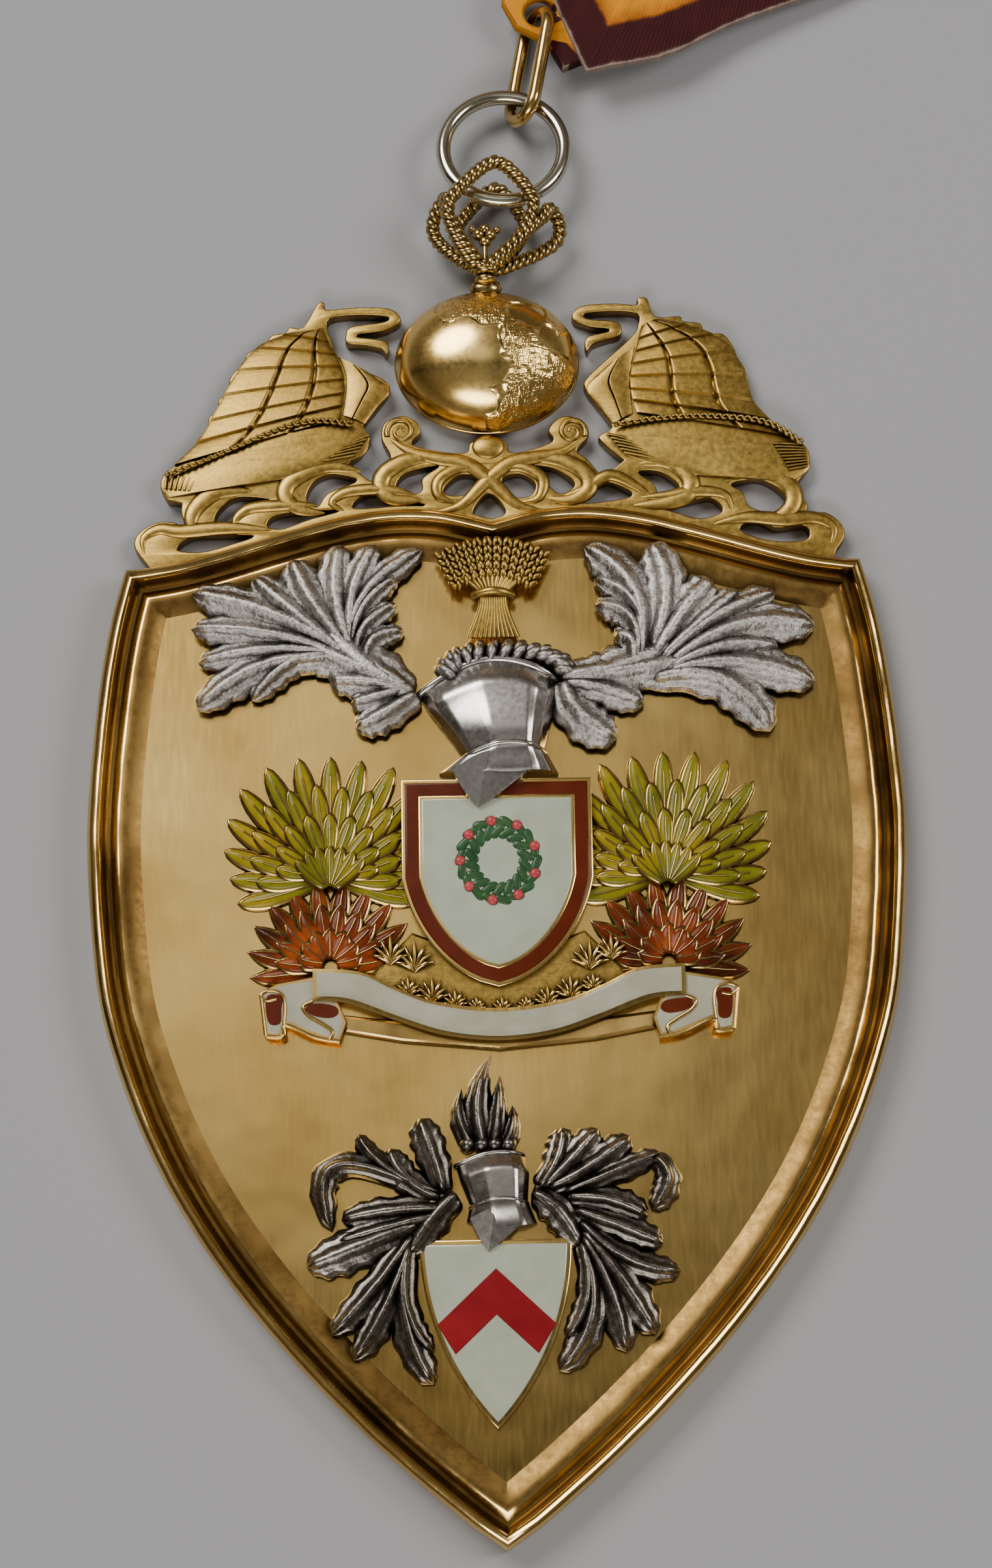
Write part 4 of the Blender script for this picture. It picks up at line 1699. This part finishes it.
def make_ribbon():
    """Closed neck ribbon with a mitred point and a tongue with an eye."""
    rows = ribbon_rows()
    count = 700
    even = [[a.lerp(b, t) for a, b in zip(rows[i], rows[i + 1])]
            for i, t in even_spans([(a + b) / 2 for a, b in rows], count + 1)]

    def place(u, v):
        outer, inner = even[min(count, round(v * count))]
        spot = outer.lerp(inner, u)
        near = math.exp(-(((spot.x - WAVE_X) / WAVE_WIDTH) ** 2)) * max(0.0, 1 - u * 2.5)
        near *= min(1.0, v / 0.008)
        if v < 0.2:
            spot = spot + Vector((0.4, -1.0, 0.0)) * WAVE_REACH * near
            spot.z += WAVE_RISE * near
        return spot
    ribbon = weld(sheet_grid("ribbon_cloth", 26, count, place), 0.005 * MM)
    shell = ribbon.modifiers.new("cloth", "SOLIDIFY")
    shell.thickness = CLOTH_THICKNESS
    shell.offset = 0.0
    pick(ribbon)
    bpy.ops.object.modifier_apply(modifier=shell.name)
    smooth(ribbon, 40.0)
    cloth = ribbon_cloth()
    paint(ribbon, cloth)
    tongue = [(RIBBON_TIP[0] + u * RIBBON_WIDTH, RIBBON_TIP[1] + v * RIBBON_WIDTH) for u, v in RIBBON_TONGUE]
    hole = LINK_WIRE / 2 + 0.7 * MM
    eye = circle(LINK_EYE, hole, hole, 28)
    flap = cut_sheet("ribbon_tongue", [tongue, eye], RING_TOP_Z - RIBBON_THICKNESS / 2 + 0.05 * MM,
                     0.9 * RIBBON_THICKNESS, 0.2 * MM)
    smooth(flap, 40.0)
    paint(flap, cloth)
    settle(flap, [])
    settle(ribbon, ["neck_ribbon"])
    return ribbon


def make_floor():
    """Pale surface under the badge."""
    clear_selection()
    bpy.ops.mesh.primitive_plane_add(size=6.0)
    floor = bpy.context.object
    floor.name = "pale_surface"
    floor.location.z = -0.02 * MM
    material, _, _, shader, _ = new_material("pale_surface")
    tune(shader, {"Base Color": (0.285, 0.285, 0.295, 1.0), "Roughness": 0.9, "Specular IOR Level": 0.1})
    paint(floor, material)


def add_light(name, place, target, size, power, colour):
    """A soft oval light aimed at a place."""
    lamp = bpy.data.lights.new(name, "AREA")
    lamp.energy = power
    lamp.color = colour
    lamp.shape = "ELLIPSE"
    lamp.size, lamp.size_y = size
    holder = bpy.data.objects.new(name, lamp)
    bpy.context.scene.collection.objects.link(holder)
    holder.location = place
    holder.rotation_euler = (Vector(target) - Vector(place)).to_track_quat("-Z", "Y").to_euler()


ROOM = (
    # the room's brightness by height, from left to right, and from the near to the far side
    ("Z", ((0.50, (0.34, 0.31, 0.28)), (0.68, (0.12, 0.095, 0.07)), (0.85, (0.34, 0.305, 0.26)),
           (0.97, (0.43, 0.415, 0.385)))),
    ("X", ((0.30, grey(0.80)), (0.44, grey(1.0)), (0.50, grey(0.92)), (0.56, grey(0.48)),
           (0.70, grey(0.75)))),
    ("Y", ((0.20, grey(1.0)), (0.42, grey(0.65)), (0.495, grey(0.05)), (0.518, grey(0.16)),
           (0.54, grey(0.75)), (0.60, grey(1.0)), (0.68, grey(0.80)), (0.85, grey(1.0)))),
)
LAMPS = (
    # name, place, what it is aimed at, size, power, colour
    ("softbox", (-0.30, 0.38, 0.55), (0.0, 0.02, 0.0), (0.45, 0.35), 4.6, (1.0, 0.98, 0.95)),
    ("ceiling", (-0.045, 0.155, 0.62), (-0.01, 0.03, 0.0), (0.20, 0.20), 0.055, (1.0, 0.97, 0.92)),
    ("fill", (0.42, 0.10, 0.42), (0.0, 0.02, 0.0), (0.25, 0.25), 1.6, (1.0, 0.97, 0.93)),
    ("front", (-0.10, -0.45, 0.40), (0.0, 0.0, 0.0), (0.40, 0.20), 2.0, (1.0, 0.98, 0.96)),
)


def make_lights():
    """Soft studio light from above and the left, in a dim warm room."""
    world = bpy.data.worlds.new("room")
    bpy.context.scene.world = world
    world.use_nodes = True
    nodes = world.node_tree.nodes
    links = world.node_tree.links
    place = nodes.new("ShaderNodeTexCoord")
    axes = split_node(nodes, links, place.outputs["Generated"])
    colour = None
    for axis, stops in ROOM:
        share = math_node(nodes, links, "MULTIPLY_ADD", axes[axis], 0.5, 0.5)
        band = ramp_node(nodes, links, share, stops)
        colour = multiply(nodes, links, colour, band) if colour else band
    back = tune(nodes["Background"], {"Strength": 0.85})
    links.new(colour, back.inputs["Color"])
    for lamp in LAMPS:
        add_light(*lamp)


def make_camera():
    """Camera at the photograph's viewpoint."""
    tilt = math.radians(15.0)
    roll = math.radians(-0.9)
    field = math.radians(30.0)
    distance = 224.5 * MM
    aim = Vector((0.0, 20.0 * MM, 0.0))
    back = Vector((0.0, -math.sin(tilt), math.cos(tilt)))
    right = Vector((1.0, 0.0, 0.0))
    up = Vector((0.0, math.cos(tilt), math.sin(tilt)))
    turned = math.cos(roll) * right + math.sin(roll) * up
    risen = -math.sin(roll) * right + math.cos(roll) * up
    eye = aim + back * distance
    lens = bpy.data.cameras.new("view")
    lens.sensor_fit = "VERTICAL"
    lens.angle_y = field
    lens.clip_start = 0.01
    holder = bpy.data.objects.new("view", lens)
    bpy.context.scene.collection.objects.link(holder)
    axes = Matrix((turned, risen, back)).transposed().to_4x4()
    holder.matrix_world = Matrix.Translation(eye) @ axes
    bpy.context.scene.camera = holder


make_shield()
make_gallery()
make_globe()
make_crown()
make_ring()
make_link()
make_ribbon()
leaf_cluster("upper_left", LEFT_LEAF_ROOT, UPPER_LEFT_LEAVES, 2.2 * MM, FROSTED_SILVER,
             1.42,
             ((0.02, -0.02, -0.16, 0.04, -0.36, 0.28, 0.19), (-0.02, 0.02, -0.24, 0.10, -0.50, 0.24, 0.14)))
leaf_cluster("upper_right", RIGHT_LEAF_ROOT, UPPER_RIGHT_LEAVES, 2.2 * MM, FROSTED_SILVER,
             1.42,
             ((0.00, 0.00, 0.24, 0.00, 0.50, 0.16, 0.16), (0.10, 0.01, 0.34, 0.02, 0.58, 0.08, 0.14)))
leaf_cluster("lower_left", LOWER_LEFT_ROOT, LOWER_LEFT_LEAVES, 2.0 * MM, DARK_SILVER, 1.30)
leaf_cluster("lower_right", LOWER_RIGHT_ROOT, LOWER_RIGHT_LEAVES, 2.0 * MM, DARK_SILVER, 1.30)
make_helmet("upper_helmet", HELMET_ROWS, HELMET_FOOT, HELMET_WIDTH, HELMET_HEIGHT, 3.0 * MM,
            ((-0.29, 0.24), (0.25, 0.26), (-0.12, 0.01)), POLISHED_SILVER)
make_helmet("lower_helmet", SMALL_HELMET_ROWS, SMALL_HELMET_FOOT, SMALL_HELMET_WIDTH, SMALL_HELMET_HEIGHT,
            2.2 * MM, ((-0.30, 0.34), (0.30, 0.32), (-0.10, 0.03)), WORN_SILVER)
make_torse()
make_sheaf()
make_plume()
make_upper_arms()
make_lower_arms()
make_spray("left_spray", -1)
make_spray("right_spray", 1)
make_scroll()
make_ground()
make_floor()
make_lights()
make_camera()
